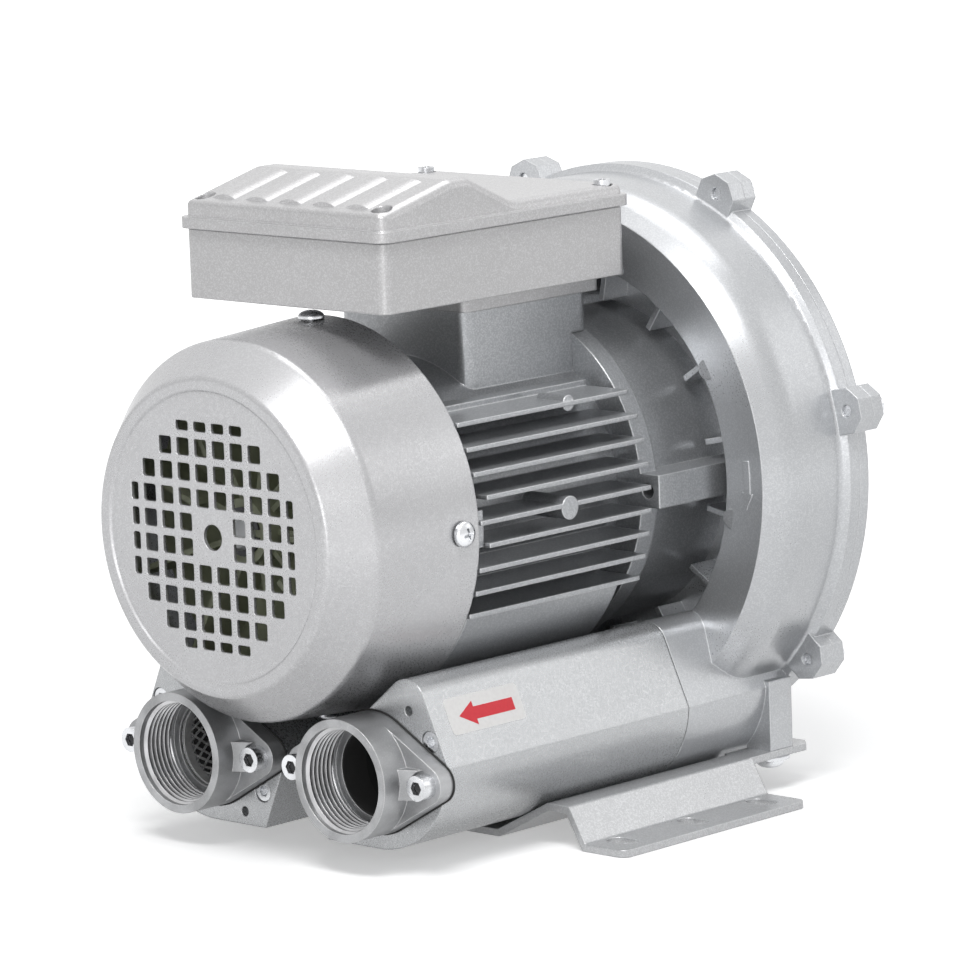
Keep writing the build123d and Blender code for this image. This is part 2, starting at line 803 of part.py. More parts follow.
def bearing_inner(bearing, front_y):
    """Inner race of a ball bearing."""
    bore, _, race, pitch, ball, front, back = bearing_sizes(bearing, front_y)
    ring = rod(bore + race, front, back) - rod(bore, front - overcut, back + overcut)
    return ring - groove(pitch, ball, (front + back) / 2)


def bearing_balls(bearing, front_y, count):
    """The balls of a ball bearing."""
    *_, pitch, ball, front, back = bearing_sizes(bearing, front_y)
    return group(ring_of(Pos(pitch, (front + back) / 2, 0) * Sphere(ball), count))


def bearing_cage(bearing, front_y, count):
    """The ring that spaces the balls."""
    *_, pitch, ball, front, back = bearing_sizes(bearing, front_y)
    middle = (front + back) / 2
    half = cage_wall / 2
    ring = rod(pitch + half, middle - ball - half, middle + ball + half)
    ring -= rod(pitch - half, front - overcut, back + overcut)
    pocket = Pos(pitch, middle, 0) * Rot(0, 90, 0) * Cylinder(ball + running_gap, 4 * cage_wall)
    return ring - ring_of(pocket, count)


def preload_spring():
    """Disc spring that presses on the outer race of the fan-side bearing."""
    back = rear_bearing_y
    front = back - preload_height
    outside = rear_bearing[1] / 2
    rim = outside - joint_gap
    inside = outside - (outside - rear_bearing[0] / 2) * race_share + liner_gap
    return turned([(rim, front), (rim, front + preload_sheet), (inside, back),
                   (inside, back - preload_sheet)])


# ------------------------------------------------------------------ motor insides
def slot_shapes(gap):
    """The stator's slots, narrowed on every side by a gap."""
    half = slot_width / 2 - gap
    start = stator_bore + slot_lip + gap
    end = stator_bore + slot_lip + slot_depth - gap
    bar = block((start, end), (core_front_y - overcut, core_end_y + overcut), (-half, half))
    return ring_of(bar, slot_count)


def stator_core():
    """Laminated stator with slots for the winding."""
    core = rod(frame_bore, core_front_y, core_end_y)
    return core - rod(stator_bore, core_front_y - overcut, core_end_y + overcut) - slot_shapes(0)


def coil_end(core_face, away):
    """Ring of winding beyond one face of the core, rounded at its far end; away is -1 or 1."""
    inner = stator_bore + slot_lip + winding_gap
    near, far = core_face + away * winding_gap, core_face + away * coil_reach
    return turned([(inner, near), (coil_radius, near), (coil_radius, far), (inner, far)],
                  [0, 0, winding_round, winding_round])


def stator_winding():
    """Coil ends joined by the bars that lie in the slots."""
    return coil_end(core_front_y, -1) + coil_end(core_end_y, 1) + slot_shapes(liner_gap)


def rotor_core():
    """Squirrel-cage rotor: laminations, end rings and small vanes."""
    radius = stator_bore - air_gap
    front, back = core_front_y - rotor_ring_length, core_end_y + rotor_ring_length
    outer = radius - rotor_vane_inset
    half = rotor_vane_thickness / 2
    body = rod(radius, core_front_y, core_end_y)
    body += rod(radius - rotor_ring_step, front, back)
    vane = block((outer - rotor_vane_depth, outer), (front - rotor_vane_length, back + rotor_vane_length),
                 (-half, half))
    body += ring_of(vane, rotor_vane_count)
    return body - rod(shaft_body_radius, front - rotor_vane_length, back + rotor_vane_length)


def shaft():
    """Stepped shaft with keyways for the fan and the impeller."""
    rear, front = rear_bearing[0] / 2, front_bearing[0] / 2
    end = impeller_end_y - shaft_end_gap
    steps = [(0, shaft_front_y), (fan_seat_radius - shaft_chamfer, shaft_front_y),
             (fan_seat_radius, shaft_front_y + shaft_chamfer), (fan_seat_radius, fan_back_y),
             (rear, fan_back_y), (rear, rear_shoulder_y), (shaft_body_radius, rear_shoulder_y),
             (shaft_body_radius, front_bearing_y), (front, front_bearing_y), (front, impeller_front_y),
             (impeller_seat_radius, impeller_front_y), (impeller_seat_radius, end), (0, end)]
    tapped = rod(end_screw_radius + thread_gap, end - end_screw_length, impeller_end_y)
    return turned(steps) - key_space(key_height) - tapped


def key_space(height):
    """Space of the key, to a height above the shaft's surface."""
    return block((-key_width / 2, key_width / 2), (key_front_y, key_back_y),
                 (impeller_seat_radius - key_height / 2, impeller_seat_radius + height))


def impeller_key():
    """Parallel key between shaft and impeller."""
    return key_space(key_height / 2)


def impeller():
    """Side channel impeller: two rows of pockets between blades, a ribbed web and a hub."""
    front, back = impeller_front_y, impeller_end_y
    middle = (front + back) / 2
    web, rib = impeller_web / 2, impeller_rib_width / 2
    inner = channel_inner + impeller_tip_gap
    floor = inner + pocket_run
    hub_back = back - end_washer_thickness
    half = [(impeller_hub_radius, web), (inner - 2 * impeller_ring, web),
            (inner - impeller_ring, impeller_width / 2), (inner, impeller_width / 2),
            (inner + pocket_slope, pocket_depth), (floor, rib * 1.5), (impeller_radius, rib)]
    outline = [(x, middle - y) for x, y in half] + [(x, middle + y) for x, y in half[::-1]]
    body = turned([(impeller_seat_radius, front), (impeller_hub_radius, front),
                   (impeller_hub_radius, hub_back), (impeller_seat_radius, hub_back)])
    body += turned(outline)
    blade = block((inner - overcut, impeller_radius), (front, back),
                  (-impeller_blade_thickness / 2, impeller_blade_thickness / 2))
    body += ring_of(blade, impeller_blade_count)
    spoke = block((impeller_hub_radius - overcut, inner - impeller_ring),
                  (middle - impeller_spoke_width / 2, middle + impeller_spoke_width / 2),
                  (-impeller_spoke_thickness / 2, impeller_spoke_thickness / 2))
    body += ring_of(spoke, impeller_spoke_count)
    keyway = block((-key_width / 2, key_width / 2), (front - overcut, back),
                   (0, impeller_seat_radius + key_height / 2))
    return body - keyway - rod(impeller_seat_radius, front - overcut, back + overcut)


def impeller_washer():
    """Thick washer that clamps the impeller to the shaft end."""
    front = impeller_end_y - end_washer_thickness
    washer = rod(end_washer_radius, front, impeller_end_y)
    washer -= rod(end_screw_radius + bolt_gap, front - overcut, impeller_end_y + overcut)
    return washer - rod(impeller_seat_radius + liner_gap, front - overcut,
                        impeller_end_y - shaft_end_gap + liner_gap)


def impeller_screw():
    """Screw in the shaft end."""
    return Pos(0, impeller_end_y, 0) * Rot(-90, 0, 0) * hex_screw(end_screw_radius, end_screw_length)


# ------------------------------------------------------------------ blower housing
def silencer_section(inset=0.0):
    """Outline of a silencer: an arc below and outside, flats above, a flat against the motor."""
    angle = math.radians(motor_side_angle)
    normal = Vector(math.cos(angle), math.sin(angle))
    tangent = Vector(-normal.Y, normal.X)
    low = normal * motor_clearance - tangent * motor_side_down
    high = normal * motor_clearance + tangent * motor_side_up
    arc = CenterArc((port_x, silencer_arc_z), silencer_arc, -90, 90 + silencer_arc_end)
    flats = Polyline(arc @ 1, (high.X, high.Y), (low.X, low.Y), (silencer_foot_x, (arc @ 0).Y), arc @ 0)
    face = make_face(Curve() + [arc, flats])
    face = fillet(face.vertices().sort_by(Axis.Y)[-1], silencer_peak_round)
    face = fillet(face.vertices().sort_by(Axis.X)[0], silencer_inner_round)
    if inset:
        face = offset(face, -inset, kind=Kind.INTERSECTION)
    return face


def housing_lug(y_from, y_to):
    """House-shaped bolt lug on the housing's rim."""
    root, shoulder, tip = rim_radius - lug_tip, lug_circle + lug_shoulder, lug_circle + lug_tip
    outline = [(root, -lug_half_width), (shoulder, -lug_half_width), (tip, -lug_tip_half_width),
               (tip, lug_tip_half_width), (shoulder, lug_half_width), (root, lug_half_width)]
    return along_y(make_face(Polyline(*outline, close=True)), y_from, y_to)


def housing_lugs(y_from, y_to):
    """The ring of lugs, trimmed where one would come too near the floor."""
    limit = floor_z + floor_gap
    reach = lug_circle + 2 * lug_tip
    below = block((-reach, reach), (y_from - overcut, y_to + overcut), (limit - reach, limit))
    return [lug - below for lug in ring_of(housing_lug(y_from, y_to), housing_lug_count, lug_angle)]


def cover_bolt_holes(radius, y_from, y_to):
    """Round bars at the places of the cover bolts."""
    return ring_of(rod(radius, y_from, y_to, x=lug_circle), housing_lug_count, lug_angle)


def housing_passage():
    """Space inside the housing half for the impeller and the air."""
    channel = turned([(channel_inner, channel_front_y), (channel_outer, channel_front_y),
                      (channel_outer, joint_y + overcut), (channel_inner, joint_y + overcut)],
                     [channel_round, channel_round, 0, 0])
    return channel + rod(channel_inner + overcut, hub_front_y, joint_y + overcut)


def recess_ribs():
    """Ribs on the wall of the recess that the motor's end sits in."""
    half = recess_rib_thickness / 2
    rib = block((annulus_radius - recess_rib_length, annulus_radius + overcut),
                (shield_end_y - recess_rib_depth, shield_end_y + overcut), (-half, half))
    return ring_of(rib, recess_rib_count, 360.0 / recess_rib_count / 2)


def flange_screw_seats():
    """Countersunk clearance holes for the screws into the drive-end shield."""
    cone = Cone(flange_screw_radius, flange_screw_radius * 2, flange_screw_radius)
    sunk = Pos(flange_screw_circle, hub_front_y - flange_screw_radius / 2, 0) * Rot(-90, 0, 0) * cone
    clear = rod(flange_screw_radius + bolt_gap, shield_end_y - overcut, hub_front_y + overcut,
                x=flange_screw_circle)
    return ring_of(sunk + clear, lug_count)


def silencer_stub():
    """Solid stub that a silencer is screwed to, with the leg that stands on the bracket."""
    stub = along_y(silencer_section(), stub_front_y, lug_front_y + overcut)
    leg = block((tab_in_x + leg_inset, tab_out_x - leg_inset), (leg_front_y, leg_front_y + leg_length),
                (crest_z, silencer_arc_z))
    return stub + leg


def stub_spaces():
    """What is cut from a stub: its hollow, the air passage and the tapped holes."""
    deep = channel_front_y - channel_round
    hollow = along_y(silencer_section(silencer_wall), stub_front_y - overcut, deep)
    hollow -= rod(annulus_radius + recess_rib_thickness, stub_front_y - 2 * overcut, deep + overcut)
    hollow += rod(passage_radius, stub_front_y, channel_front_y + channel_round, x=port_x, z=port_z)
    hollow += Pos(leg_x, leg_y, crest_z) * Cylinder(foot_screw_radius + thread_gap, 2 * leg_thread)
    for x, z in silencer_screws_at:
        hollow += rod(silencer_screw_radius + thread_gap, stub_front_y - overcut,
                      stub_front_y + silencer_screw_thread + 2 * overcut, x=x, z=z)
    return hollow


def blower_housing():
    """Front half of the blower: channel bulge, recess with ribs, rim with lugs, silencer stubs."""
    shaft_hole = seal_radius - seal_wall
    outline = [(rim_radius, joint_y), (rim_radius, joint_y - rim_front),
               (band_radius, joint_y - rim_front - rim_slope), (band_radius, bulge_y),
               (shoulder_radius, shoulder_y), (annulus_radius, annulus_y),
               (annulus_radius, shield_end_y), (shaft_hole, shield_end_y), (shaft_hole, joint_y)]
    body = turned(outline, [0, 0, rim_slope, bulge_round, 0, pad_height, 0, 0, 0])
    body += both_sides(silencer_stub())
    body += housing_lugs(lug_front_y, joint_y)
    body += recess_ribs()
    pad = rod(pad_radius, annulus_y - pad_height, shield_end_y, x=annulus_radius + pad_offset)
    body += ring_of(pad, pad_count, pad_angle)
    body -= housing_passage()
    body -= both_sides(stub_spaces())
    body -= cover_bolt_holes(cover_bolt_radius + thread_gap, lug_front_y - overcut, joint_y + overcut)
    return body - flange_screw_seats()


def cover_spokes():
    """Ribs and centre boss in the sunk middle of the cover."""
    root = cover_back_y - cover_hub_recess - overcut
    half = cover_rib_thickness / 2
    rib = block((cover_boss_radius - overcut, annulus_radius), (root, cover_back_y - cover_rib_drop),
                (-half, half))
    boss = rod(cover_boss_radius, root, cover_back_y - cover_boss_drop)
    return ring_of(rib, cover_rib_count, 360.0 / cover_rib_count / 2) + [boss]


def housing_cover():
    """Rear half of the blower: bevelled bulge, ribbed hub plate, centre boss and lugs."""
    recess_y = cover_back_y - cover_hub_recess
    inner_y = cover_back_y - cover_wall_back
    bevel_y = joint_y + rim_back
    bevel_radius = rim_radius - cover_step
    outline = [(0, recess_y), (annulus_radius - rim_slope, recess_y), (annulus_radius, cover_back_y),
               (bevel_radius + bevel_y - cover_back_y, cover_back_y), (bevel_radius, bevel_y),
               (rim_radius, bevel_y), (rim_radius, joint_y), (0, joint_y)]
    body = turned(outline, [0, rim_slope, pad_height, cover_edge_round, 0, 0, 0, 0])
    body += housing_lugs(joint_y, joint_y + lug_back)
    body += cover_spokes()
    inside = bevel_radius + bevel_y - band_wall * math.sqrt(2)
    channel = turned([(channel_inner, joint_y - overcut), (channel_outer, joint_y - overcut),
                      (channel_outer, inside - channel_outer), (inside - inner_y, inner_y),
                      (channel_inner, inner_y)],
                     [0, 0, 0, cover_channel_round, cover_channel_round])
    body -= channel
    body -= rod(channel_inner + overcut, joint_y - overcut, cover_plate_y)
    body -= rod(cover_screw_pocket, joint_y - overcut, cover_plate_y + cover_pocket_depth)
    return body - cover_bolt_holes(cover_bolt_radius + bolt_gap, joint_y - overcut,
                                   joint_y + lug_back + overcut)


def cover_bolts():
    """Bolts that clamp the cover to the housing."""
    seat = Pos(lug_circle, joint_y + lug_back, 0) * Rot(-90, 0, 0)
    bolt = seat * cap_screw(cover_bolt_radius, cover_bolt_length)
    return group(ring_of(bolt, housing_lug_count, lug_angle))


# ------------------------------------------------------------------ silencers and ports
def screw_columns(gap):
    """Round bars round the long screws, where a silencer is not hollow."""
    radius = silencer_screw_radius + silencer_screw_wall + gap
    return [rod(radius, silencer_front_y, silencer_end_y + overcut, x=x, z=z) for x, z in silencer_screws_at]


def screw_holes(y_from, y_to):
    """Clearance holes for the long screws."""
    return [rod(silencer_screw_radius + bolt_gap, y_from, y_to, x=x, z=z) for x, z in silencer_screws_at]


def ear_holes(radius, y_from, y_to):
    """Round bars at the places of a port flange's bolts."""
    return [rod(radius, y_from, y_to, x=port_x + side * flange_lug_x, z=port_z) for side in (-1, 1)]


def silencer():
    """Right-hand silencer body: an extruded hollow section, closed at the port end."""
    front, floor = silencer_front_y - overcut, silencer_front_y + silencer_cap
    body = along_y(silencer_section(), silencer_front_y, silencer_end_y)
    hollow = along_y(silencer_section(silencer_wall), floor, silencer_end_y + overcut)
    body -= hollow - screw_columns(0)
    body -= rod(mesh_radius + liner_gap, front, floor + overcut, x=port_x, z=port_z)
    body -= screw_holes(front, silencer_end_y + overcut)
    body -= ear_holes(flange_bolt_radius + thread_gap, front, floor + overcut)
    head = silencer_screw_radius * screw_head_ratio + bolt_gap
    for x, z in silencer_screws_at:
        body -= rod(head, front, silencer_front_y + silencer_screw_sink, x=x, z=z)
    for x, z in spare_holes_at:
        body -= rod(spare_hole_radius, front, floor - overcut, x=x, z=z)
    return body


def silencer_foam(core_radius):
    """Foam sleeve that fills a silencer round its air path."""
    front = silencer_front_y + silencer_cap + liner_gap
    foam = along_y(silencer_section(silencer_wall + liner_gap), front, silencer_end_y)
    foam -= screw_columns(liner_gap)
    return foam - rod(core_radius, front - overcut, silencer_end_y + overcut, x=port_x, z=port_z)


def mesh_tube():
    """Perforated tube that lines the inlet silencer."""
    front, back = silencer_front_y + liner_gap, silencer_end_y
    tube = rod(mesh_radius, front, back, x=port_x, z=port_z)
    return tube - rod(mesh_radius - mesh_wall, front - overcut, back + overcut, x=port_x, z=port_z)


def silencer_gasket():
    """Gasket between a silencer and its stub on the housing."""
    front, back = silencer_end_y - overcut, stub_front_y + overcut
    plate = along_y(silencer_section(joint_gap), silencer_end_y, stub_front_y)
    plate -= rod(passage_radius + overcut, front, back, x=port_x, z=port_z)
    return plate - screw_holes(front, back)


def silencer_screws():
    """Long screws that pull the silencers against the housing."""
    screws = []
    length = silencer_length - silencer_screw_sink + gasket_thickness + silencer_screw_thread
    for x, z in silencer_screws_at:
        place = Pos(x, silencer_front_y + silencer_screw_sink, z) * Rot(90, 0, 0)
        screws += both_sides(place * cap_screw(silencer_screw_radius, length))
    return group(screws)


def flange_outline(grow=0.0):
    """Rhombic outline of a port flange: a round middle drawn out to two bolt ears."""
    middle = Circle(flange_neck_radius + grow)
    ears = [Pos(side * flange_lug_x, 0) * Circle(flange_lug_radius + grow) for side in (-1, 1)]
    return Pos(port_x, port_z) * make_hull((middle + ears).edges())


def flange_ramps():
    """Ramps that stiffen the ears of a port flange against its neck."""
    foot, top = flange_lug_x + flange_ramp_foot, flange_neck_radius - overcut
    low = flange_plate_y + overcut
    ramp = Polyline((-foot, low), (foot, low), (top, flange_ramp_y), (-top, flange_ramp_y), close=True)
    return Pos(port_x, 0, port_z - flange_ramp_width / 2) * extrude(make_face(ramp), flange_ramp_width)


def port_flange():
    """Cast threaded port flange with two bolt ears and ramps from neck to ears."""
    front, back = flange_mouth_y - overcut, flange_back_y + overcut
    body = along_y(flange_outline(), flange_plate_y, flange_back_y)
    body += rod(flange_neck_radius, flange_mouth_y, flange_back_y, x=port_x, z=port_z)
    body += flange_ramps()
    body -= rod(port_thread_radius, front, flange_mouth_y + port_thread_length, x=port_x, z=port_z)
    body -= rod(mesh_radius + liner_gap, front, back, x=port_x, z=port_z)
    body -= ear_holes(flange_bolt_radius + bolt_gap, front, back)
    return body - ear_holes(flange_bolt_radius * screw_head_ratio + flange_seat_gap, front, flange_plate_y)


def flange_gasket():
    """Gasket under a port flange."""
    front, back = flange_back_y - overcut, silencer_front_y + overcut
    plate = along_y(flange_outline(gasket_proud), flange_back_y, silencer_front_y)
    plate -= rod(mesh_radius + liner_gap, front, back, x=port_x, z=port_z)
    return plate - ear_holes(flange_bolt_radius + bolt_gap, front, back)


def flange_bolts():
    """Socket screws through the ears of both port flanges."""
    bolts = []
    for side in (-1, 1):
        place = Pos(port_x + side * flange_lug_x, flange_plate_y, port_z) * Rot(90, 0, 0)
        bolts += both_sides(place * cap_screw(flange_bolt_radius, flange_plate + silencer_cap))
    return group(bolts)


# ------------------------------------------------------------------ foot bracket
def sheet_outline(path, thickness):
    """Closed outline of a bent strip: the path and its offset to the upper side."""
    upper = []
    for i, (x, z) in enumerate(path):
        before, after = path[max(i - 1, 0)], path[min(i + 1, len(path) - 1)]
        normals = []
        for (x0, z0), (x1, z1) in ((before, (x, z)), ((x, z), after)):
            length = math.hypot(x1 - x0, z1 - z0)
            if length:
                normals.append((-(z1 - z0) / length, (x1 - x0) / length))
        first, last = normals[0], normals[-1]
        scale = thickness / (1 + first[0] * last[0] + first[1] * last[1])
        upper.append((x + (first[0] + last[0]) * scale, z + (first[1] + last[1]) * scale))
    return path + upper[::-1]


def bracket_tab():
    """Tab that runs back from a crest to the foot screw under the housing."""
    front, chamfered = bracket_end_y - overcut, tab_end_y - tab_chamfer
    outline = Polyline((tab_in_x, front), (tab_out_x, front), (tab_out_x, chamfered),
                       (tab_out_x - tab_chamfer, tab_end_y), (tab_in_x + tab_chamfer, tab_end_y),
                       (tab_in_x, chamfered), close=True)
    tab = Pos(0, 0, crest_rise) * extrude(make_face(outline), sheet)
    return tab - Pos(leg_x, leg_y, crest_rise) * Cylinder(foot_screw_radius + bolt_gap, sheet * 3)


def foot_bracket():
    """Bent sheet bracket: foot flanges, two crests beside the silencers, rear tabs."""
    half = [(valley_x, 0), (crest_in_x, crest_rise), (crest_out_x, crest_rise), (flange_in_x, 0),
            (flange_out_x, 0)]
    path = [(-x, z) for x, z in half[::-1]] + half
    strip = make_face(Polyline(*sheet_outline(path, sheet), close=True))
    body = along_y(strip, bracket_front_y, bracket_end_y)
    inside = flange_out_x - flange_corner
    body = fillet([edge for edge in body.edges().filter_by(Axis.Y) if abs(edge.center().X) < inside],
                  bend_radius)
    body = fillet([edge for edge in body.edges().filter_by(Axis.Z) if abs(edge.center().X) > inside],
                  flange_corner)
    body += both_sides(bracket_tab())
    slot = extrude(SlotOverall(slot_total, slot_half_width * 2), 2 * sheet, both=True)
    for y in (-foot_y, 0, foot_y):
        body -= both_sides(Pos(foot_x, y, 0) * slot)
    return Pos(0, 0, floor_z) * body


def foot_screws():
    """Round-headed screws from below through the bracket's tabs into the housing legs."""
    screw = pan_screw(foot_screw_radius, foot_screw_length)
    return group(both_sides(Pos(leg_x, leg_y, crest_z - sheet) * Rot(180, 0, 0) * screw))


# ------------------------------------------------------------------ terminal box
def box_outline(grow=0.0):
    """Plan of the terminal box, larger or smaller by a margin on every side."""
    width = 2 * (box_half_width + grow)
    length = box_end_y - box_front_y + 2 * grow
    return Pos(0, (box_front_y + box_end_y) / 2) * RectangleRounded(width, length, box_corner + grow)


def collar_holes(radius, z_from, z_to):
    """The four screw positions between box, collar and frame."""
    return [Pos(x, y, (z_from + z_to) / 2) * Cylinder(radius, z_to - z_from)
            for x in (-collar_screw_x, collar_screw_x) for y in collar_screws_y]


def box_collar():
    """Collar plate between the frame's neck and the terminal box."""
    middle = (collar_front_y + collar_end_y) / 2
    plan = Pos(0, middle) * RectangleRounded(2 * collar_half_width, collar_end_y - collar_front_y, box_corner)
    body = Pos(0, 0, neck_top_z) * extrude(plan, collar_height)
    body -= Pos(0, duct_y, neck_top_z) * Cylinder(duct_radius, collar_height * 3)
    return body - collar_holes(box_screw_radius + bolt_gap, neck_top_z - overcut, box_floor_z + overcut)


def lid_posts():
    """Centres of the lid screws."""
    x = box_half_width - lid_screw_inset
    return [(sx * x, y) for sx in (-1, 1)
            for y in (box_front_y + lid_screw_inset, box_end_y - lid_screw_inset)]


def terminal_box():
    """Cast terminal box: open top, four lid posts, cable entries on the left side."""
    body = Pos(0, 0, box_floor_z) * extrude(box_outline(), box_height)
    body -= Pos(0, 0, inner_floor_z) * extrude(box_outline(-box_wall), box_height)
    for x, y in lid_posts():
        body += Pos(x, y, box_floor_z + box_height / 2) * Cylinder(lid_post_radius, box_height)
        body -= Pos(x, y, lip_z) * Cylinder(box_screw_radius + thread_gap, 2 * lid_thread)
    entry = Rot(0, 90, 0) * Cylinder(gland_radius + thread_gap, 4 * box_wall)
    for y in (entry_y, plug_y):
        body -= Pos(-box_half_width, y, entry_z) * entry
    body -= Pos(0, duct_y, box_floor_z) * Cylinder(duct_radius, box_wall * 4)
    body -= Pos(earth_x, earth_y, inner_floor_z) * Cylinder(box_screw_radius + thread_gap,
                                                            2 * earth_screw_length + joint_gap)
    return body - collar_holes(box_screw_radius + bolt_gap, box_floor_z - overcut, inner_floor_z + overcut)


def lid_gasket():
    """Gasket between lid and box."""
    ring = extrude(box_outline(-joint_gap) - box_outline(-box_wall), gasket_thickness)
    for x, y in lid_posts():
        ring += Pos(x, y, gasket_thickness / 2) * Cylinder(lid_post_radius, gasket_thickness)
        ring -= Pos(x, y, 0) * Cylinder(box_screw_radius + bolt_gap, 4 * gasket_thickness)
    return Pos(0, 0, lip_z) * ring


def lid_form(drop=0.0):
    """The lid's outer form above its lip: ramp, crest, drop and flat, lowered by a wall."""
    plan_half = box_half_width - drop
    front, back = box_front_y + drop, box_end_y - drop
    edge, crest, rear = (lip_top_z + rise - drop for rise in (lid_edge_rise, lid_crest_rise, lid_rear_rise))
    side = FilletPolyline((front, lid_low_z), (front, edge), (lid_crest_y - crest_front, crest),
                          (lid_crest_y + crest_back, crest), (lid_rear_y, rear), (back, rear),
                          (back, lid_low_z), close=True,
                          radius=[0, lid_front_round, *crest_rounds, rear_round, lid_front_round, 0])
    form = Pos(-plan_half, 0, 0) * extrude(Plane.YZ * make_face(side), 2 * plan_half)
    return fillet(form.edges().filter_by(Axis.Z), box_corner - drop)


def lid_ridges():
    """Rounded ridges that run up the lid's ramp to the crest."""
    pitch = 2 * (box_half_width - ridge_margin) / ridge_count
    half = pitch / 2 - ridge_gap
    top_y = lid_crest_y - crest_front
    run = top_y - box_front_y
    slope = math.degrees(math.atan2(lid_crest_rise - lid_edge_rise, run))
    ridge = Rot(-90 + slope, 0, 0) * Cylinder(ridge_radius, 2 * run)
    ridge = Pos(0, box_front_y, lip_top_z + lid_edge_rise - ridge_radius + ridge_height) * ridge
    ridge &= block((-half, half), (box_front_y + ridge_start, top_y), (lip_top_z, crest_top_z))
    return [Pos((i - (ridge_count - 1) / 2) * pitch, 0, 0) * ridge for i in range(ridge_count)]


def terminal_lid():
    """Cast lid: overhanging lip, fluted ramp up to a crest, lower flat behind, hollow below."""
    lip = Pos(0, 0, lid_low_z) * extrude(box_outline(lip_overhang), lip_top_z - lid_low_z)
    body = lip + lid_form() + lid_ridges() - lid_form(lid_wall)
    post = lid_screw_seat_z - lid_low_z
    well = crest_top_z - lid_screw_seat_z
    for x, y in lid_posts():
        body -= Pos(x, y, lid_screw_seat_z + well / 2) * Cylinder(lid_well_radius, well)
        body += Pos(x, y, lid_low_z + post / 2) * Cylinder(lid_post_radius, post)
        body -= Pos(x, y, lid_low_z) * Cylinder(box_screw_radius + bolt_gap, 4 * post)
    return body


def lid_screws():
    """Screws in the sunk corners of the lid."""
    length = lid_screw_seat_z - lip_z + lid_thread - overcut
    return group([Pos(x, y, lid_screw_seat_z) * cap_screw(box_screw_radius, length) for x, y in lid_posts()])


def box_screws():
    """Screws from inside the box through the collar into the frame's neck."""
    screw = cap_screw(box_screw_radius, inner_floor_z - neck_top_z + box_screw_thread)
    return group([Pos(x, y, inner_floor_z) * screw
                  for x in (-collar_screw_x, collar_screw_x) for y in collar_screws_y])


def earth_screw():
    """Earth screw on the box floor."""
    return Pos(earth_x, earth_y, inner_floor_z) * hex_screw(box_screw_radius, earth_screw_length)


def stud_places():
    """Centres of the terminal studs."""
    step = board_half * 2 / 3
    return [(i * step, board_y + side * board_half / 4) for i in (-1, 0, 1) for side in (-1, 1)]


def terminal_block():
    """Moulded terminal board on the box floor, with barriers between the pairs of studs."""
    top = inner_floor_z + board_height
    depth = (board_y - board_half / 2, board_y + board_half / 2)
    half = barrier_thickness / 2
    board = block((-board_half, board_half), depth, (inner_floor_z, top))
    for x in (-board_half / 3, board_half / 3):
        board += block((x - half, x + half), depth, (top, top + barrier_height))
    for x, y in stud_places():
        board -= Pos(x, y, top) * Cylinder(stud_radius + thread_gap, board_height)
    return board


def terminal_studs():
    """Threaded studs of the terminal board."""
    base = inner_floor_z + board_height / 2
    length = board_height / 2 + stud_height
    return group([Pos(x, y, base + length / 2) * Cylinder(stud_radius, length) for x, y in stud_places()])


def terminal_nuts():
    """Nuts on the terminal studs."""
    nut = extrude(RegularPolygon(stud_radius * 2, 6) - Circle(stud_radius + thread_gap), nut_height)
    return group([Pos(x, y, inner_floor_z + board_height) * nut for x, y in stud_places()])


def run_capacitor():
    """Motor run capacitor that lies in the box."""
    can = Cylinder(capacitor_radius, capacitor_length)
    rim = Cylinder(capacitor_radius - capacitor_rim, capacitor_length + 2 * capacitor_rim)
    return Pos(0, capacitor_y, inner_floor_z + capacitor_radius) * Rot(0, 90, 0) * (can + rim)


def capacitor_clip():
    """Strap that holds the capacitor down, with its two feet."""
    outside = capacitor_radius + strap
    inside = capacitor_radius + joint_gap
    over = Circle(outside) + Pos(0, -capacitor_radius / 2) * Rectangle(2 * outside, capacitor_radius)
    over -= Pos(0, -capacitor_radius - outside / 2) * Rectangle(2 * outside, outside)
    over += Pos(0, strap / 2 - capacitor_radius) * Rectangle(2 * (outside + clip_foot), strap)
    over -= Circle(inside) + Pos(0, -capacitor_radius / 2) * Rectangle(2 * inside, capacitor_radius + strap)
    strip = extrude(Plane.YZ * over, strap_width / 2, both=True)
    return Pos(0, capacitor_y, inner_floor_z + capacitor_radius) * strip


def x_rod(radius, x_from, x_to):
    """A round bar along X."""
    return Pos((x_from + x_to) / 2, 0, 0) * Rot(0, 90, 0) * Cylinder(radius, x_to - x_from)


def x_hex(across, x_from, x_to):
    """A hexagonal bar along X."""
    flat = Plane.YZ * RegularPolygon(across / 2, 6, major_radius=False)
    return Pos(x_from, 0, 0) * extrude(flat, x_to - x_from)


def on_box_side(shape, y):
    """Set a piece that is drawn outside x = 0 against the left side of the box."""
    return Pos(-box_half_width, y, entry_z) * shape


def cable_gland():
    """Gland body in the left side of the box: thread, hexagon and clamping neck."""
    inside = box_wall + gland_thread
    body = x_rod(gland_radius, -gland_hex_length, inside) + x_hex(gland_hex, -gland_hex_length, 0)
    body += x_rod(gland_radius - gland_neck_step, -gland_neck_length, 0)
    body -= x_rod(gland_radius - gland_wall, -gland_neck_length - overcut, inside + overcut)
    return on_box_side(body, entry_y)


def gland_nut():
    """Cap nut of the gland."""
    step = gland_nut_step - gland_nut_length
    near = -gland_hex_length - liner_gap
    neck = gland_radius - gland_neck_step + thread_gap
    body = x_hex(gland_hex - 2 * gland_neck_step, step, near)
    body += x_rod(gland_radius - gland_neck_step, -gland_nut_length, step)
    body -= x_rod(neck, -gland_neck_length - liner_gap, 0)
    return on_box_side(body - x_rod(gland_bore + gland_bore_margin, -gland_nut_length - overcut, 0), entry_y)


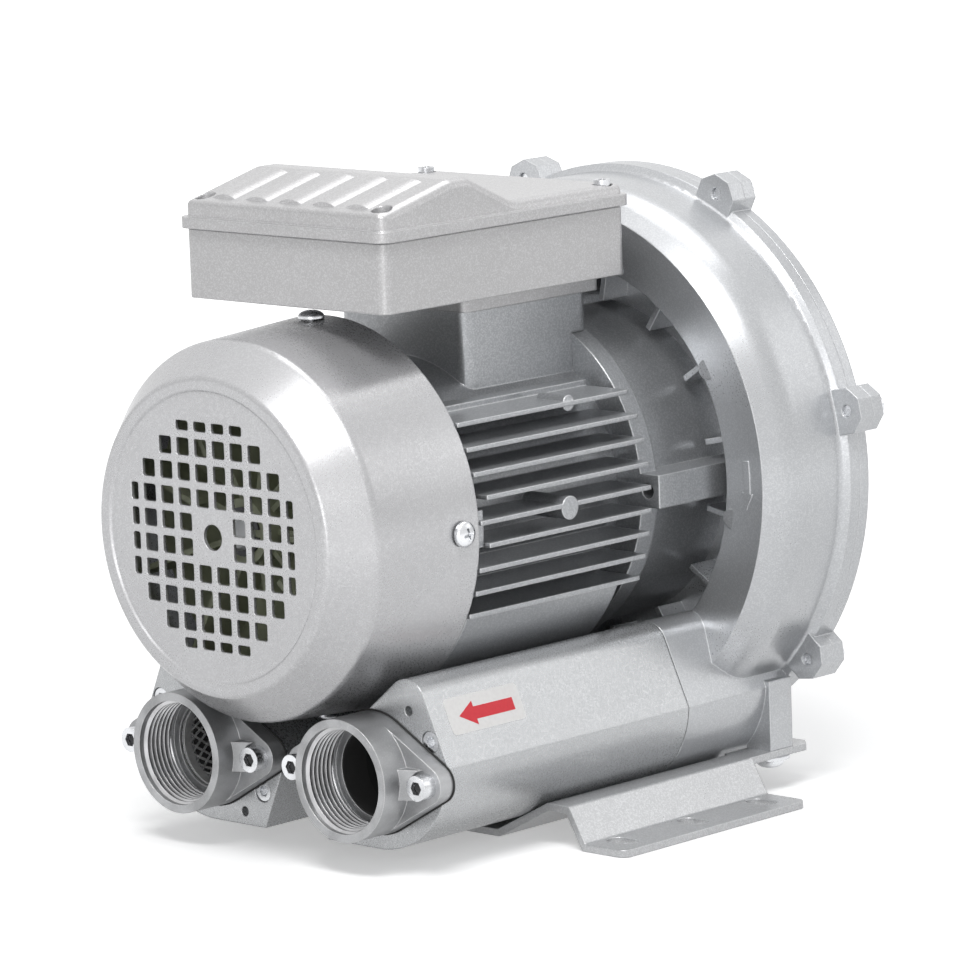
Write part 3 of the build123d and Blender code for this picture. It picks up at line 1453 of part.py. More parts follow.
def gland_seal():
    """Rubber seal inside the gland."""
    seal = x_rod(gland_radius - gland_wall - running_gap, -gland_neck_length, -seal_lip)
    return on_box_side(seal - x_rod(gland_bore, -gland_neck_length - overcut, 0), entry_y)


def blanking_plug():
    """Plug in the spare cable entry."""
    inside = box_wall + gland_thread
    body = x_rod(gland_radius, -overcut, inside) + x_rod(gland_radius + plug_head_margin, -plug_head, 0)
    return on_box_side(body - x_rod(gland_radius - gland_wall, overcut, inside + overcut), plug_y)


# ------------------------------------------------------------------ the whole machine
def on_left(shape):
    """The mirror image of a piece made for the right-hand side."""
    return mirror(shape, about=Plane.YZ)


def pieces():
    """Every piece of the machine under its own name."""
    return {
        "fan_cover": fan_cover(),
        "fan_cover_screws": fan_cover_screws(),
        "cooling_fan": cooling_fan(),
        "fan_retaining_ring": fan_retaining_ring(),
        "rear_end_shield": rear_end_shield(),
        "rear_shield_screws": rear_shield_screws(),
        "motor_frame": motor_frame(),
        "stator_core": stator_core(),
        "stator_winding": stator_winding(),
        "rotor_core": rotor_core(),
        "shaft": shaft(),
        "rear_bearing_outer": bearing_outer(rear_bearing, rear_bearing_y),
        "rear_bearing_inner": bearing_inner(rear_bearing, rear_bearing_y),
        "rear_bearing_balls": bearing_balls(rear_bearing, rear_bearing_y, rear_balls),
        "rear_bearing_cage": bearing_cage(rear_bearing, rear_bearing_y, rear_balls),
        "front_bearing_outer": bearing_outer(front_bearing, front_bearing_y),
        "front_bearing_inner": bearing_inner(front_bearing, front_bearing_y),
        "front_bearing_balls": bearing_balls(front_bearing, front_bearing_y, front_balls),
        "front_bearing_cage": bearing_cage(front_bearing, front_bearing_y, front_balls),
        "preload_spring": preload_spring(),
        "drive_end_shield": drive_end_shield(),
        "flange_screws": flange_screws(),
        "shaft_seal": shaft_seal(),
        "blower_housing": blower_housing(),
        "housing_cover": housing_cover(),
        "cover_bolts": cover_bolts(),
        "impeller": impeller(),
        "impeller_key": impeller_key(),
        "impeller_washer": impeller_washer(),
        "impeller_screw": impeller_screw(),
        "outlet_silencer": silencer(),
        "inlet_silencer": on_left(silencer()),
        "outlet_foam": silencer_foam(mesh_radius - 0.5),
        "inlet_foam": on_left(silencer_foam(mesh_radius + liner_gap)),
        "inlet_mesh_tube": on_left(mesh_tube()),
        "outlet_silencer_gasket": silencer_gasket(),
        "inlet_silencer_gasket": on_left(silencer_gasket()),
        "silencer_screws": silencer_screws(),
        "outlet_flange": port_flange(),
        "inlet_flange": on_left(port_flange()),
        "flange_gaskets": group(both_sides(flange_gasket())),
        "flange_bolts": flange_bolts(),
        "foot_bracket": foot_bracket(),
        "foot_screws": foot_screws(),
        "box_collar": box_collar(),
        "terminal_box": terminal_box(),
        "lid_gasket": lid_gasket(),
        "terminal_lid": terminal_lid(),
        "lid_screws": lid_screws(),
        "box_screws": box_screws(),
        "earth_screw": earth_screw(),
        "terminal_block": terminal_block(),
        "terminal_studs": terminal_studs(),
        "terminal_nuts": terminal_nuts(),
        "run_capacitor": run_capacitor(),
        "capacitor_clip": capacitor_clip(),
        "cable_gland": cable_gland(),
        "gland_nut": gland_nut(),
        "gland_seal": gland_seal(),
        "blanking_plug": blanking_plug(),
    }


if __name__ == "__main__":
    os.makedirs("parts", exist_ok=True)
    for name, shape in pieces().items():
        save(name, shape)
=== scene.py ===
import logging
import math
from collections.abc import Callable, Iterable, Sequence
from dataclasses import dataclass, field
from enum import Enum
from typing import Any

import bmesh
import bpy
from mathutils import Matrix, Vector


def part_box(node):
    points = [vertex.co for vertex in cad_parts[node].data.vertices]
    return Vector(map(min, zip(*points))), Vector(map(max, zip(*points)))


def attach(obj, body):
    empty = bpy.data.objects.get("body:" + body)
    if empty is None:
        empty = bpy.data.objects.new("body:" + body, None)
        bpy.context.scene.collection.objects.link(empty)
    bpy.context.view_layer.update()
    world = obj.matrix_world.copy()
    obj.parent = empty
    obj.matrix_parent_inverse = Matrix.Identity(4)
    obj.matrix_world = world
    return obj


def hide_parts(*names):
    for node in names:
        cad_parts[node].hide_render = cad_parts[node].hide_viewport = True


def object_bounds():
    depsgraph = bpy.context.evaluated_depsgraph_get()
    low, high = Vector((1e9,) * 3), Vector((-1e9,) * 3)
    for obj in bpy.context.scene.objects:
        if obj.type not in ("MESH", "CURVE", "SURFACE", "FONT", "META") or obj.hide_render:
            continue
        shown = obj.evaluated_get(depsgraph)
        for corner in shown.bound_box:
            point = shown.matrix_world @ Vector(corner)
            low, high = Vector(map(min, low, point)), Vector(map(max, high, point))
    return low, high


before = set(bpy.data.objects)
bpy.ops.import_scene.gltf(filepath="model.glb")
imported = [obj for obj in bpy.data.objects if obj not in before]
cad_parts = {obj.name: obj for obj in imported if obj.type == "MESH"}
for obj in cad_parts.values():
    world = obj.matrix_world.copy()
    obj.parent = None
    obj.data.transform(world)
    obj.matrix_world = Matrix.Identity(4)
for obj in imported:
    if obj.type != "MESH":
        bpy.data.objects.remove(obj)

CAD_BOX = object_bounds()
AXIS_HEIGHT = sum(corner.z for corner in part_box("cooling_fan")) / 2
FRAME_BODY = "frame"
Colour = tuple[float, float, float]
Point = tuple[float, float, float]

logging.basicConfig(level=logging.INFO, format="%(name)s: %(message)s")
log = logging.getLogger("side_channel_blower")


# ---------------------------------------------------------------- shader arithmetic
class Wire:
    """An output of a shader node that takes part in Python arithmetic."""

    def __init__(self, graph: "Graph", socket: bpy.types.NodeSocket) -> None:
        """Keep the socket with the graph that new nodes go into."""
        self.graph = graph
        self.socket = socket

    def worked(self, operation: str, *values: "Wire | float") -> "Wire":
        """Add one Math node.

        Args:
            operation: Name of the Math node's operation.
            values: What its sockets get, in order.

        Returns:
            The node's result.
        """
        return self.graph.add("ShaderNodeMath", {"operation": operation}, dict(enumerate(values)))

    def __add__(self, other: "Wire | float") -> "Wire":
        """Sum."""
        return self.worked("ADD", self, other)

    def __radd__(self, other: float) -> "Wire":
        """Sum with a number on the left."""
        return self.worked("ADD", other, self)

    def __sub__(self, other: "Wire | float") -> "Wire":
        """Difference."""
        return self.worked("SUBTRACT", self, other)

    def __rsub__(self, other: float) -> "Wire":
        """Difference from a number."""
        return self.worked("SUBTRACT", other, self)

    def __mul__(self, other: "Wire | float") -> "Wire":
        """Product."""
        return self.worked("MULTIPLY", self, other)

    def __rmul__(self, other: float) -> "Wire":
        """Product with a number on the left."""
        return self.worked("MULTIPLY", other, self)

    def __truediv__(self, other: "Wire | float") -> "Wire":
        """Quotient."""
        return self.worked("DIVIDE", self, other)

    def __pow__(self, other: "Wire | float") -> "Wire":
        """Power."""
        return self.worked("POWER", self, other)

    def between(self, low: float, high: float) -> "Wire":
        """Smooth step.

        Args:
            low: Value at which the result is 0.
            high: Value at which the result is 1.

        Returns:
            A value from 0 to 1.
        """
        settings = {"interpolation_type": "SMOOTHSTEP"}
        sockets = {"Value": self, "From Min": low, "From Max": high}
        return self.graph.add("ShaderNodeMapRange", settings, sockets)


class Graph:
    """The node tree of one material or world, and the ways to add to it."""

    def __init__(self, owner: bpy.types.Material | bpy.types.World) -> None:
        """Empty the node tree of a material or world.

        Args:
            owner: The material or world that is drawn.
        """
        owner.use_nodes = True
        self.owner = owner
        self.tree = owner.node_tree
        self.tree.nodes.clear()

    def add(
        self,
        kind: str,
        settings: dict[str, Any] | None = None,
        sockets: dict[str | int, Any] | None = None,
        output: str | int = 0,
    ) -> Wire:
        """Add any node.

        Args:
            kind: The node's type.
            settings: Properties, set before the sockets; "stops" holds a ramp's stops.
            sockets: Values or wires for the input sockets.
            output: The output that is returned.

        Returns:
            The chosen output.
        """
        node = self.tree.nodes.new(kind)
        for name, value in (settings or {}).items():
            if name == "stops":
                self._set_stops(node.color_ramp, value)
            else:
                setattr(node, name, value)
        for name, value in (sockets or {}).items():
            if isinstance(value, Wire):
                self.tree.links.new(value.socket, node.inputs[name])
            else:
                node.inputs[name].default_value = value
        return Wire(self, node.outputs[output])

    @staticmethod
    def _set_stops(ramp: bpy.types.ColorRamp, stops: Sequence[tuple[float, Colour]]) -> None:
        """Give a colour ramp its stops.

        Args:
            ramp: The ramp of a Color Ramp node.
            stops: Positions and colours, from low to high.
        """
        while len(ramp.elements) < len(stops):
            ramp.elements.new(1.0)
        for element, (position, colour) in zip(ramp.elements, stops):
            element.position = position
            element.color = (*colour, 1.0)

    def place(self) -> Wire:
        """Position on the object in metres, the same for every piece."""
        return self.add("ShaderNodeTexCoord", output="Object")

    def stretched(self, scale: Point) -> Wire:
        """Position on the object, scaled along each axis."""
        return self.add("ShaderNodeVectorMath", {"operation": "MULTIPLY"}, {0: self.place(), 1: scale})

    def noise(self, scale: float, detail: float = 2.0, along: Wire | None = None) -> Wire:
        """Cloudy noise from 0 to 1.

        Args:
            scale: Features per metre.
            detail: Octaves.
            along: Position to read it at, if not the plain one.

        Returns:
            The noise's value.
        """
        sockets = {"Vector": along or self.place(), "Scale": scale, "Detail": detail}
        return self.add("ShaderNodeTexNoise", None, sockets)

    def cells(self, scale: float, output: str | int = "Color") -> Wire:
        """Random value of small cells.

        Args:
            scale: Cells per metre.
            output: "Color" for a random value, "Distance" for the distance to the cell's centre.

        Returns:
            The chosen output.
        """
        cell = self.add("ShaderNodeTexVoronoi", None, {"Vector": self.place(), "Scale": scale}, output)
        return cell if output == "Distance" else self.add("ShaderNodeSeparateColor", None, {"Color": cell})

    def blend(self, factor: Wire | float, first: Colour | Wire, second: Colour | Wire) -> Wire:
        """Mix two colours.

        Args:
            factor: 0 gives the first, 1 the second.
            first: A colour or a wire.
            second: A colour or a wire.

        Returns:
            The mixed colour.
        """
        colours = [one if isinstance(one, Wire) else (*one, 1.0) for one in (first, second)]
        return self.add("ShaderNodeMix", {"data_type": "RGBA"}, {0: factor, 6: colours[0], 7: colours[1]}, 2)

    def edges(self, radius: float) -> tuple[Wire, Wire]:
        """Find outer edges by comparing a rounded normal with the true one.

        Args:
            radius: How far the rounding reaches, in metres.

        Returns:
            A mask that is 1 on edges, and the rounded normal.
        """
        rounded = self.add("ShaderNodeBevel", {"samples": 6}, {"Radius": radius})
        true = self.add("ShaderNodeNewGeometry", output="Normal")
        turn = self.add("ShaderNodeVectorMath", {"operation": "DOT_PRODUCT"}, {0: rounded, 1: true}, "Value")
        return (1.0 - turn).between(0.02, 0.3), rounded

    def bump(self, height: Wire, depth: float, normal: Wire | None = None) -> Wire:
        """Relief from a height.

        Args:
            height: Height from 0 to 1.
            depth: Real depth in metres.
            normal: Normal to start from.

        Returns:
            The bumped normal.
        """
        sockets: dict[str | int, Any] = {"Height": height, "Distance": depth, "Strength": 1.0}
        if normal:
            sockets["Normal"] = normal
        return self.add("ShaderNodeBump", None, sockets)

    def finish(self, sockets: dict[str | int, Any]) -> bpy.types.Material:
        """Close the tree with a Principled shader.

        Args:
            sockets: Its sockets' values and wires.

        Returns:
            The material.
        """
        return self.close(self.add("ShaderNodeBsdfPrincipled", None, sockets))

    def close(self, surface: Wire, kind: str = "ShaderNodeOutputMaterial") -> bpy.types.Material:
        """Join a shader to the tree's output.

        Args:
            surface: The shader.
            kind: The output node's type.

        Returns:
            The material, or the world.
        """
        self.tree.links.new(surface.socket, self.tree.nodes.new(kind).inputs["Surface"])
        return self.owner


# ---------------------------------------------------------------- finishes
@dataclass(frozen=True)
class Finish:
    """What a surface is made of; each kind draws its own shader."""

    name: str
    colour: Colour
    roughness: float = 0.5

    def material(self) -> bpy.types.Material:
        """The finish as a material, made once and then shared."""
        return bpy.data.materials.get(self.name) or self.draw(Graph(bpy.data.materials.new(self.name)))

    def draw(self, graph: Graph) -> bpy.types.Material:
        """Fill the graph.

        Args:
            graph: An empty graph.

        Returns:
            Its material.
        """
        raise NotImplementedError


@dataclass(frozen=True)
class MetallicPaint(Finish):
    """Silver lacquer: fine flakes, faint clouds, a painted highlight on the edges and orange peel."""

    # Colour of the flakes, and of the painted highlight on edges.
    flake_and_highlight: Colour = (0.86, 0.87, 0.88)
    flake_size: float = 0.00045
    flake_share: float = 0.24
    metallic: float = 0.62
    coat: float = 0.18
    edge_radius: float = 0.0008
    # Strength of the painted highlight on edges.
    edge_highlight_share: float = 0.5
    peel: float = 0.00002
    cloud_depth: float = 0.95

    def draw(self, graph: Graph) -> bpy.types.Material:
        """Fill the graph with the lacquer.

        Args:
            graph: Empty node tree of the material.

        Returns:
            The finished material.
        """
        spark = graph.cells(1.0 / self.flake_size).between(0.35, 1.0)
        cloud = graph.noise(26.0, 3.0)
        edge_highlight, rounded = graph.edges(self.edge_radius)
        dark = tuple(channel * self.cloud_depth for channel in self.colour)
        body = graph.blend(cloud.between(0.3, 0.7), dark, self.colour)
        body = graph.blend(spark * self.flake_share, body, self.flake_and_highlight)
        # Painted highlight: edges blended towards the flake colour.
        body = graph.blend(edge_highlight * self.edge_highlight_share, body, self.flake_and_highlight)
        return graph.finish({
            "Base Color": body,
            "Metallic": self.metallic,
            "Roughness": self.roughness + (cloud - 0.5) * 0.06 - spark * 0.06,
            "Coat Weight": self.coat,
            "Coat Roughness": 0.2,
            "Normal": graph.bump(graph.noise(900.0, 2.0), self.peel, rounded),
        })


@dataclass(frozen=True)
class CastMetal(Finish):
    """Bare die-cast metal: grain, flow clouds and a painted highlight on the edges."""

    # Pale colour of the grain, and of the painted highlight on edges.
    grain_and_edge_highlight: Colour = (0.82, 0.82, 0.81)
    grain: float = 0.00005
    metallic: float = 0.8

    def draw(self, graph: Graph) -> bpy.types.Material:
        """Fill the graph with the casting skin.

        Args:
            graph: Empty node tree of the material.

        Returns:
            The finished material.
        """
        grain = graph.noise(2600.0, 3.0)
        flow = graph.noise(90.0, 4.0, graph.stretched((1.0, 0.35, 1.0)))
        edge_highlight, rounded = graph.edges(0.0006)
        dark = tuple(channel * 0.7 for channel in self.colour)
        skin = graph.blend(flow.between(0.3, 0.7), dark, self.colour)
        skin = graph.blend(grain.between(0.5, 0.8) * 0.35, skin, self.grain_and_edge_highlight)
        return graph.finish({
            # Painted highlight: edges blended towards the pale colour.
            "Base Color": graph.blend(edge_highlight * 0.6, skin, self.grain_and_edge_highlight),
            "Metallic": self.metallic,
            "Roughness": self.roughness + (grain - 0.5) * 0.25,
            "Normal": graph.bump(grain, self.grain, rounded),
        })


class Lay(Enum):
    """Direction in which tool marks run on machined metal."""

    ROUND_MOTOR_AXIS = (1.0, 60.0, 1.0)
    ALONG_MOTOR_AXIS = (60.0, 1.0, 60.0)
    NONE = (1.0, 1.0, 1.0)


@dataclass(frozen=True)
class MachinedMetal(Finish):
    """Turned, ground or plated metal with fine tool marks."""

    lay: Lay = Lay.NONE
    marks: float = 0.00001
    metallic: float = 1.0

    def draw(self, graph: Graph) -> bpy.types.Material:
        """Fill the graph with the marks.

        Args:
            graph: Empty node tree of the material.

        Returns:
            The finished material.
        """
        marks = graph.noise(70.0 if self.lay is not Lay.NONE else 900.0, 3.0, graph.stretched(self.lay.value))
        stain = graph.noise(160.0, 3.0)
        edge_highlight, rounded = graph.edges(0.0003)
        dull = tuple(channel * 0.78 for channel in self.colour)
        light = tuple(min(1.0, channel * 1.15) for channel in self.colour)
        metal = graph.blend(stain.between(0.3, 0.7), dull, self.colour)
        return graph.finish({
            # Painted highlight: edges blended towards the paler light colour.
            "Base Color": graph.blend(edge_highlight * 0.5, metal, light),
            "Metallic": self.metallic,
            "Roughness": self.roughness + (marks - 0.5) * 0.2,
            "Normal": graph.bump(marks, self.marks, rounded),
        })


@dataclass(frozen=True)
class MouldedPlastic(Finish):
    """Injection-moulded plastic with a fine eroded skin."""

    grain: float = 0.00002

    def draw(self, graph: Graph) -> bpy.types.Material:
        """Fill the graph with the moulded skin.

        Args:
            graph: Empty node tree of the material.

        Returns:
            The finished material.
        """
        skin = graph.noise(1900.0, 2.0)
        tone = graph.noise(45.0, 3.0)
        dark = tuple(channel * 0.82 for channel in self.colour)
        return graph.finish({
            "Base Color": graph.blend(tone.between(0.3, 0.7), dark, self.colour),
            "Roughness": self.roughness + (skin - 0.5) * 0.2,
            "Normal": graph.bump(skin, self.grain),
        })


@dataclass(frozen=True)
class SoftRubber(Finish):
    """Matt rubber or gasket sheet with a dusty bloom."""

    def draw(self, graph: Graph) -> bpy.types.Material:
        """Fill the graph with the bloom.

        Args:
            graph: Empty node tree of the material.

        Returns:
            The finished material.
        """
        bloom = graph.noise(240.0, 4.0)
        dusty = tuple(channel * 1.6 + 0.01 for channel in self.colour)
        return graph.finish({
            "Base Color": graph.blend(bloom.between(0.45, 0.8), self.colour, dusty),
            "Roughness": self.roughness + (bloom - 0.5) * 0.12,
            "Normal": graph.bump(graph.noise(2200.0), 0.00003),
        })


@dataclass(frozen=True)
class OpenFoam(Finish):
    """Open-cell foam: each cell is painted as a shaded dark pit with a lit, lighter rim."""

    cell: float = 0.0012
    lit_rim_gain: float = 2.6

    def draw(self, graph: Graph) -> bpy.types.Material:
        """Fill the graph with cells.

        Args:
            graph: Empty node tree of the material.

        Returns:
            The finished material.
        """
        pit = graph.cells(1.0 / self.cell, "Distance")
        lit_rim = tuple(channel * self.lit_rim_gain for channel in self.colour)
        return graph.finish({
            # Painted shade in the pits and painted light on the rims.
            "Base Color": graph.blend(pit.between(0.3, 0.8), self.colour, lit_rim),
            "Roughness": self.roughness + (pit - 0.5) * 0.1,
            "Normal": graph.bump(pit, 0.0005),
        })


@dataclass(frozen=True)
class Layered(Finish):
    """Stacked sheets or wound wire: thin bands across one axis."""

    pitch: float = 0.0005
    across: Point = (0.0, 1.0, 0.0)
    metallic: float = 0.9

    def draw(self, graph: Graph) -> bpy.types.Material:
        """Fill the graph with bands.

        Args:
            graph: Empty node tree of the material.

        Returns:
            The finished material.
        """
        way = graph.add("ShaderNodeVectorMath", {"operation": "DOT_PRODUCT"},
                        {0: graph.place(), 1: self.across}, "Value")
        band = way.worked("PINGPONG", way / self.pitch, 1.0)
        wander = graph.noise(500.0, 2.0)
        seam = (band + (wander - 0.5) * 0.3).between(0.0, 0.35)
        dark = tuple(channel * 0.45 for channel in self.colour)
        return graph.finish({
            "Base Color": graph.blend(seam, dark, self.colour),
            "Metallic": self.metallic,
            "Roughness": self.roughness + (wander - 0.5) * 0.2,
            "Normal": graph.bump(seam, self.pitch * 0.2),
        })


@dataclass(frozen=True)
class PrintedVinyl(Finish):
    """Label film with a faint calendered texture."""

    def draw(self, graph: Graph) -> bpy.types.Material:
        """Fill the graph with the film.

        Args:
            graph: Empty node tree of the material.

        Returns:
            The finished material.
        """
        film = graph.noise(700.0, 3.0)
        aged = tuple(channel * 0.93 for channel in self.colour)
        return graph.finish({
            "Base Color": graph.blend(film.between(0.35, 0.8), self.colour, aged),
            "Roughness": self.roughness + (film - 0.5) * 0.15,
            "Normal": graph.bump(film, 0.00001),
        })


class Coat(Enum):
    """The finishes of the machine, by the job that they do."""

    COVER = MetallicPaint("fan_cover_lacquer", (0.50, 0.50, 0.51), 0.33)
    HOUSING = MetallicPaint("housing_lacquer", (0.50, 0.51, 0.525), 0.34)
    # The motor lacquer is darker than the other silver lacquer as painted shade of the deep fin gaps, and its
    # strong edge blend is a painted highlight on the fin tips.
    MOTOR = MetallicPaint("motor_lacquer", (0.37, 0.38, 0.395), 0.36, edge_radius=0.0010, edge_highlight_share=0.85)
    SILENCER = MetallicPaint("silencer_lacquer", (0.49, 0.50, 0.51), 0.31)
    BOX = MetallicPaint("terminal_box_lacquer", (0.475, 0.47, 0.475), 0.38, metallic=0.5)
    BRACKET = MetallicPaint("bracket_lacquer", (0.50, 0.505, 0.515), 0.34, metallic=0.55, flake_share=0.3)
    FLANGE = CastMetal("cast_flange", (0.46, 0.465, 0.475), 0.44)
    ZINC = MachinedMetal("zinc_plate", (0.74, 0.75, 0.77), 0.26)
    DARK_STEEL = MachinedMetal("blackened_steel", (0.12, 0.12, 0.125), 0.45)
    GROUND_STEEL = MachinedMetal("ground_steel", (0.66, 0.66, 0.67), 0.2, lay=Lay.ROUND_MOTOR_AXIS)
    THREAD = MachinedMetal("cut_thread", (0.62, 0.62, 0.63), 0.38, lay=Lay.ALONG_MOTOR_AXIS)
    MESH = MachinedMetal("expanded_mesh", (0.80, 0.80, 0.80), 0.40, metallic=0.55)
    BRASS = MachinedMetal("cage_brass", (0.78, 0.57, 0.27), 0.3)
    COPPER = Layered("wound_copper", (0.62, 0.25, 0.12), 0.35, pitch=0.0009, across=(0.0, 0.6, 0.8))
    SHEETS = Layered("core_sheets", (0.36, 0.36, 0.38), 0.45)
    FAN = MouldedPlastic("fan_plastic", (0.50, 0.53, 0.38), 0.45)
    BLACK_PLASTIC = MouldedPlastic("black_plastic", (0.022, 0.022, 0.024), 0.42)
    CAN = MouldedPlastic("capacitor_can", (0.62, 0.62, 0.60), 0.38)
    BOARD = MouldedPlastic("terminal_board", (0.10, 0.075, 0.055), 0.5)
    RUBBER = SoftRubber("black_rubber", (0.018, 0.018, 0.019), 0.72)
    FOAM = OpenFoam("black_foam", (0.006, 0.006, 0.007), 0.9)
    LABEL_WHITE = PrintedVinyl("label_white", (0.90, 0.89, 0.88), 0.34)
    LABEL_RED = PrintedVinyl("label_red", (0.74, 0.018, 0.035), 0.36)


# ---------------------------------------------------------------- making pieces
def dress(nodes: Iterable[str], coat: Coat) -> None:
    """Give carried-over pieces their finish.

    Args:
        nodes: Names of the pieces.
        coat: Their finish.
    """
    for name in nodes:
        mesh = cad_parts[name].data
        mesh.materials.clear()
        mesh.materials.append(coat.value.material())


def as_piece(
    name: str, mesh: bpy.types.Mesh, coat: Coat, stands_for: Sequence[str] = ()
) -> bpy.types.Object:
    """Put a finished mesh on the machine's frame.

    Args:
        name: The piece's name.
        mesh: Its mesh, in place.
        coat: Its finish.
        stands_for: Pieces that it is shown in place of.

    Returns:
        The new object.
    """
    piece = bpy.data.objects.new(name, mesh)
    bpy.context.scene.collection.objects.link(piece)
    mesh.name = name
    mesh.materials.clear()
    mesh.materials.append(coat.value.material())
    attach(piece, FRAME_BODY)
    if stands_for:
        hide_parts(*stands_for)
    log.info("%s: %d faces", name, len(mesh.polygons))
    return piece


def mesh_of(
    points: Sequence[Sequence[float]], faces: Sequence[Sequence[int]], smooth: bool = True, weld: float = 1e-7
) -> bpy.types.Mesh:
    """Make a mesh with outward faces.

    Args:
        points: Corners in metres.
        faces: Corners of each face.
        smooth: Whether faces shade smoothly up to sharp edges.
        weld: Corners nearer than this become one.

    Returns:
        The mesh.
    """
    mesh = bpy.data.meshes.new("raw")
    mesh.from_pydata([tuple(point) for point in points], [], [tuple(face) for face in faces])
    shape = bmesh.new()
    shape.from_mesh(mesh)
    bmesh.ops.remove_doubles(shape, verts=shape.verts, dist=weld)
    bmesh.ops.recalc_face_normals(shape, faces=shape.faces)
    shape.to_mesh(mesh)
    shape.free()
    if smooth:
        mesh.shade_smooth()
        mesh.set_sharp_from_angle(angle=math.radians(35))
    return mesh


def swept(
    rings: Sequence[Sequence[Vector]], closed: bool = False, capped: bool = True
) -> tuple[list[Vector], list[list[int]]]:
    """Join equal rings of points into a skin.

    Args:
        rings: Closed rings, in order.
        closed: Whether the last ring joins the first.
        capped: Whether the ends get a face each.

    Returns:
        Corners and faces.
    """
    size = len(rings[0])
    points = [point for ring in rings for point in ring]
    faces = []
    for i in range(len(rings) if closed else len(rings) - 1):
        near, far = i * size, (i + 1) % len(rings) * size
        faces += [[near + k, near + (k + 1) % size, far + (k + 1) % size, far + k] for k in range(size)]
    if capped and not closed:
        faces += [list(range(size)), list(range((len(rings) - 1) * size, len(rings) * size))]
    return points, faces


def applied(mesh: bpy.types.Mesh, change: Callable[[bpy.types.Object], None]) -> bpy.types.Mesh:
    """Run modifiers on a mesh and keep the result.

    Args:
        mesh: The mesh to start from.
        change: Adds the modifiers to a carrier object.

    Returns:
        The changed mesh.
    """
    carrier = bpy.data.objects.new("carrier", mesh)
    bpy.context.scene.collection.objects.link(carrier)
    change(carrier)
    bpy.context.view_layer.update()
    result = bpy.data.meshes.new_from_object(carrier.evaluated_get(bpy.context.evaluated_depsgraph_get()))
    bpy.data.objects.remove(carrier)
    return result


def joined(mesh: bpy.types.Mesh, places: Sequence[Matrix]) -> bpy.types.Mesh:
    """Copy a mesh to several places as one mesh.

    Args:
        mesh: The mesh, drawn at the origin.
        places: Where the copies go.

    Returns:
        One mesh with every copy.
    """
    shape = bmesh.new()
    for place in places:
        copy = mesh.copy()
        copy.transform(place)
        shape.from_mesh(copy)
        bpy.data.meshes.remove(copy)
    result = bpy.data.meshes.new("joined")
    shape.to_mesh(result)
    shape.free()
    result.shade_smooth()
    result.set_sharp_from_angle(angle=math.radians(35))
    return result


# ---------------------------------------------------------------- sub-assemblies
@dataclass
class FanEnd:
    """Fan cover with its recessed screws, and the fan behind the vents."""

    screw_count: int = 4
    head_radius: float = 0.0052
    head_height: float = 0.0033
    head_rise: float = 0.0032
    rim_height: float = 0.0007
    shank_radius: float = 0.002
    recess_width: float = 0.0012
    recess_reach: float = 0.0030
    recess_depth: float = 0.0018
    recess_turns: tuple[float, ...] = (12.0, 40.0, 71.0, 25.0)
    painted: tuple[str, ...] = ("fan_cover",)

    def head(self) -> bpy.types.Mesh:
        """One dome-headed screw along +Z, with a cross recess.

        Returns:
            The screw, its seat at z = 0.
        """
        steps = 14
        crown = self.head_height - self.rim_height
        dome = [(self.head_radius * math.cos(a), self.rim_height + crown * math.sin(a))
                for a in (math.pi / 2 * i / steps for i in range(steps + 1))]
        outline = [(self.shank_radius, -0.003), (self.shank_radius, 0.0), (self.head_radius, 0.0), *dome[:-1]]
        around = 48
        rings = []
        for radius, height in outline:
            rings.append([Vector((radius * math.cos(a), radius * math.sin(a), height))
                          for a in (2 * math.pi * k / around for k in range(around))])
        body = mesh_of(*swept(rings))
        cutter = self.cross()

        def cut(carrier: bpy.types.Object) -> None:
            """Take the cross out of the head."""
            modifier = carrier.modifiers.new("cross", "BOOLEAN")
            modifier.object, modifier.solver = cutter, "EXACT"

        result = applied(body, cut)
        bpy.data.objects.remove(cutter)
        return result

    def cross(self) -> bpy.types.Object:
        """Tapered cross that is cut from a screw head.

        Returns:
            The cutter.
        """
        low, high = self.head_height - self.recess_depth, self.head_height + 0.001
        rings = []
        for z, share in ((low, 0.45), (high, 1.3)):
            reach, half = self.recess_reach * share, self.recess_width / 2 * (0.6 + 0.4 * share)
            arm = (Vector((reach, -half, z)), Vector((reach, half, z)), Vector((half, half, z)))
            rings.append([Matrix.Rotation(math.pi / 2 * quarter, 3, "Z") @ corner
                          for quarter in range(4) for corner in arm])
        cutter = bpy.data.objects.new("cross_cutter", mesh_of(*swept(rings), smooth=False))
        bpy.context.scene.collection.objects.link(cutter)
        return cutter

    def screws(self) -> bpy.types.Object:
        """The side screws of the cover, each turned as it was driven.

        Returns:
            All four screws as one piece.
        """
        low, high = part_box("fan_cover_screws")
        centre = (low + high) / 2
        reach = (high.x - low.x) / 2 - self.head_rise
        places = []
        for i in range(self.screw_count):
            angle = 2 * math.pi * i / self.screw_count
            out = Matrix.Rotation(-angle, 4, "Y") @ Matrix.Translation((reach, 0, 0)) @ Matrix.Rotation(
                math.pi / 2, 4, "Y")
            spin = Matrix.Rotation(math.radians(self.recess_turns[i]), 4, "Z")
            places.append(Matrix.Translation(centre) @ out @ spin)
        return as_piece("cover_cross_screws", joined(self.head(), places), Coat.ZINC,
                        ["fan_cover_screws"])

    def build(self) -> None:
        """Make and dress everything at the fan end."""
        self.screws()
        dress(self.painted, Coat.COVER)
        dress(["cooling_fan"], Coat.FAN)
        dress(["fan_retaining_ring", "rear_shield_screws"], Coat.DARK_STEEL)
        dress(["rear_end_shield"], Coat.MOTOR)


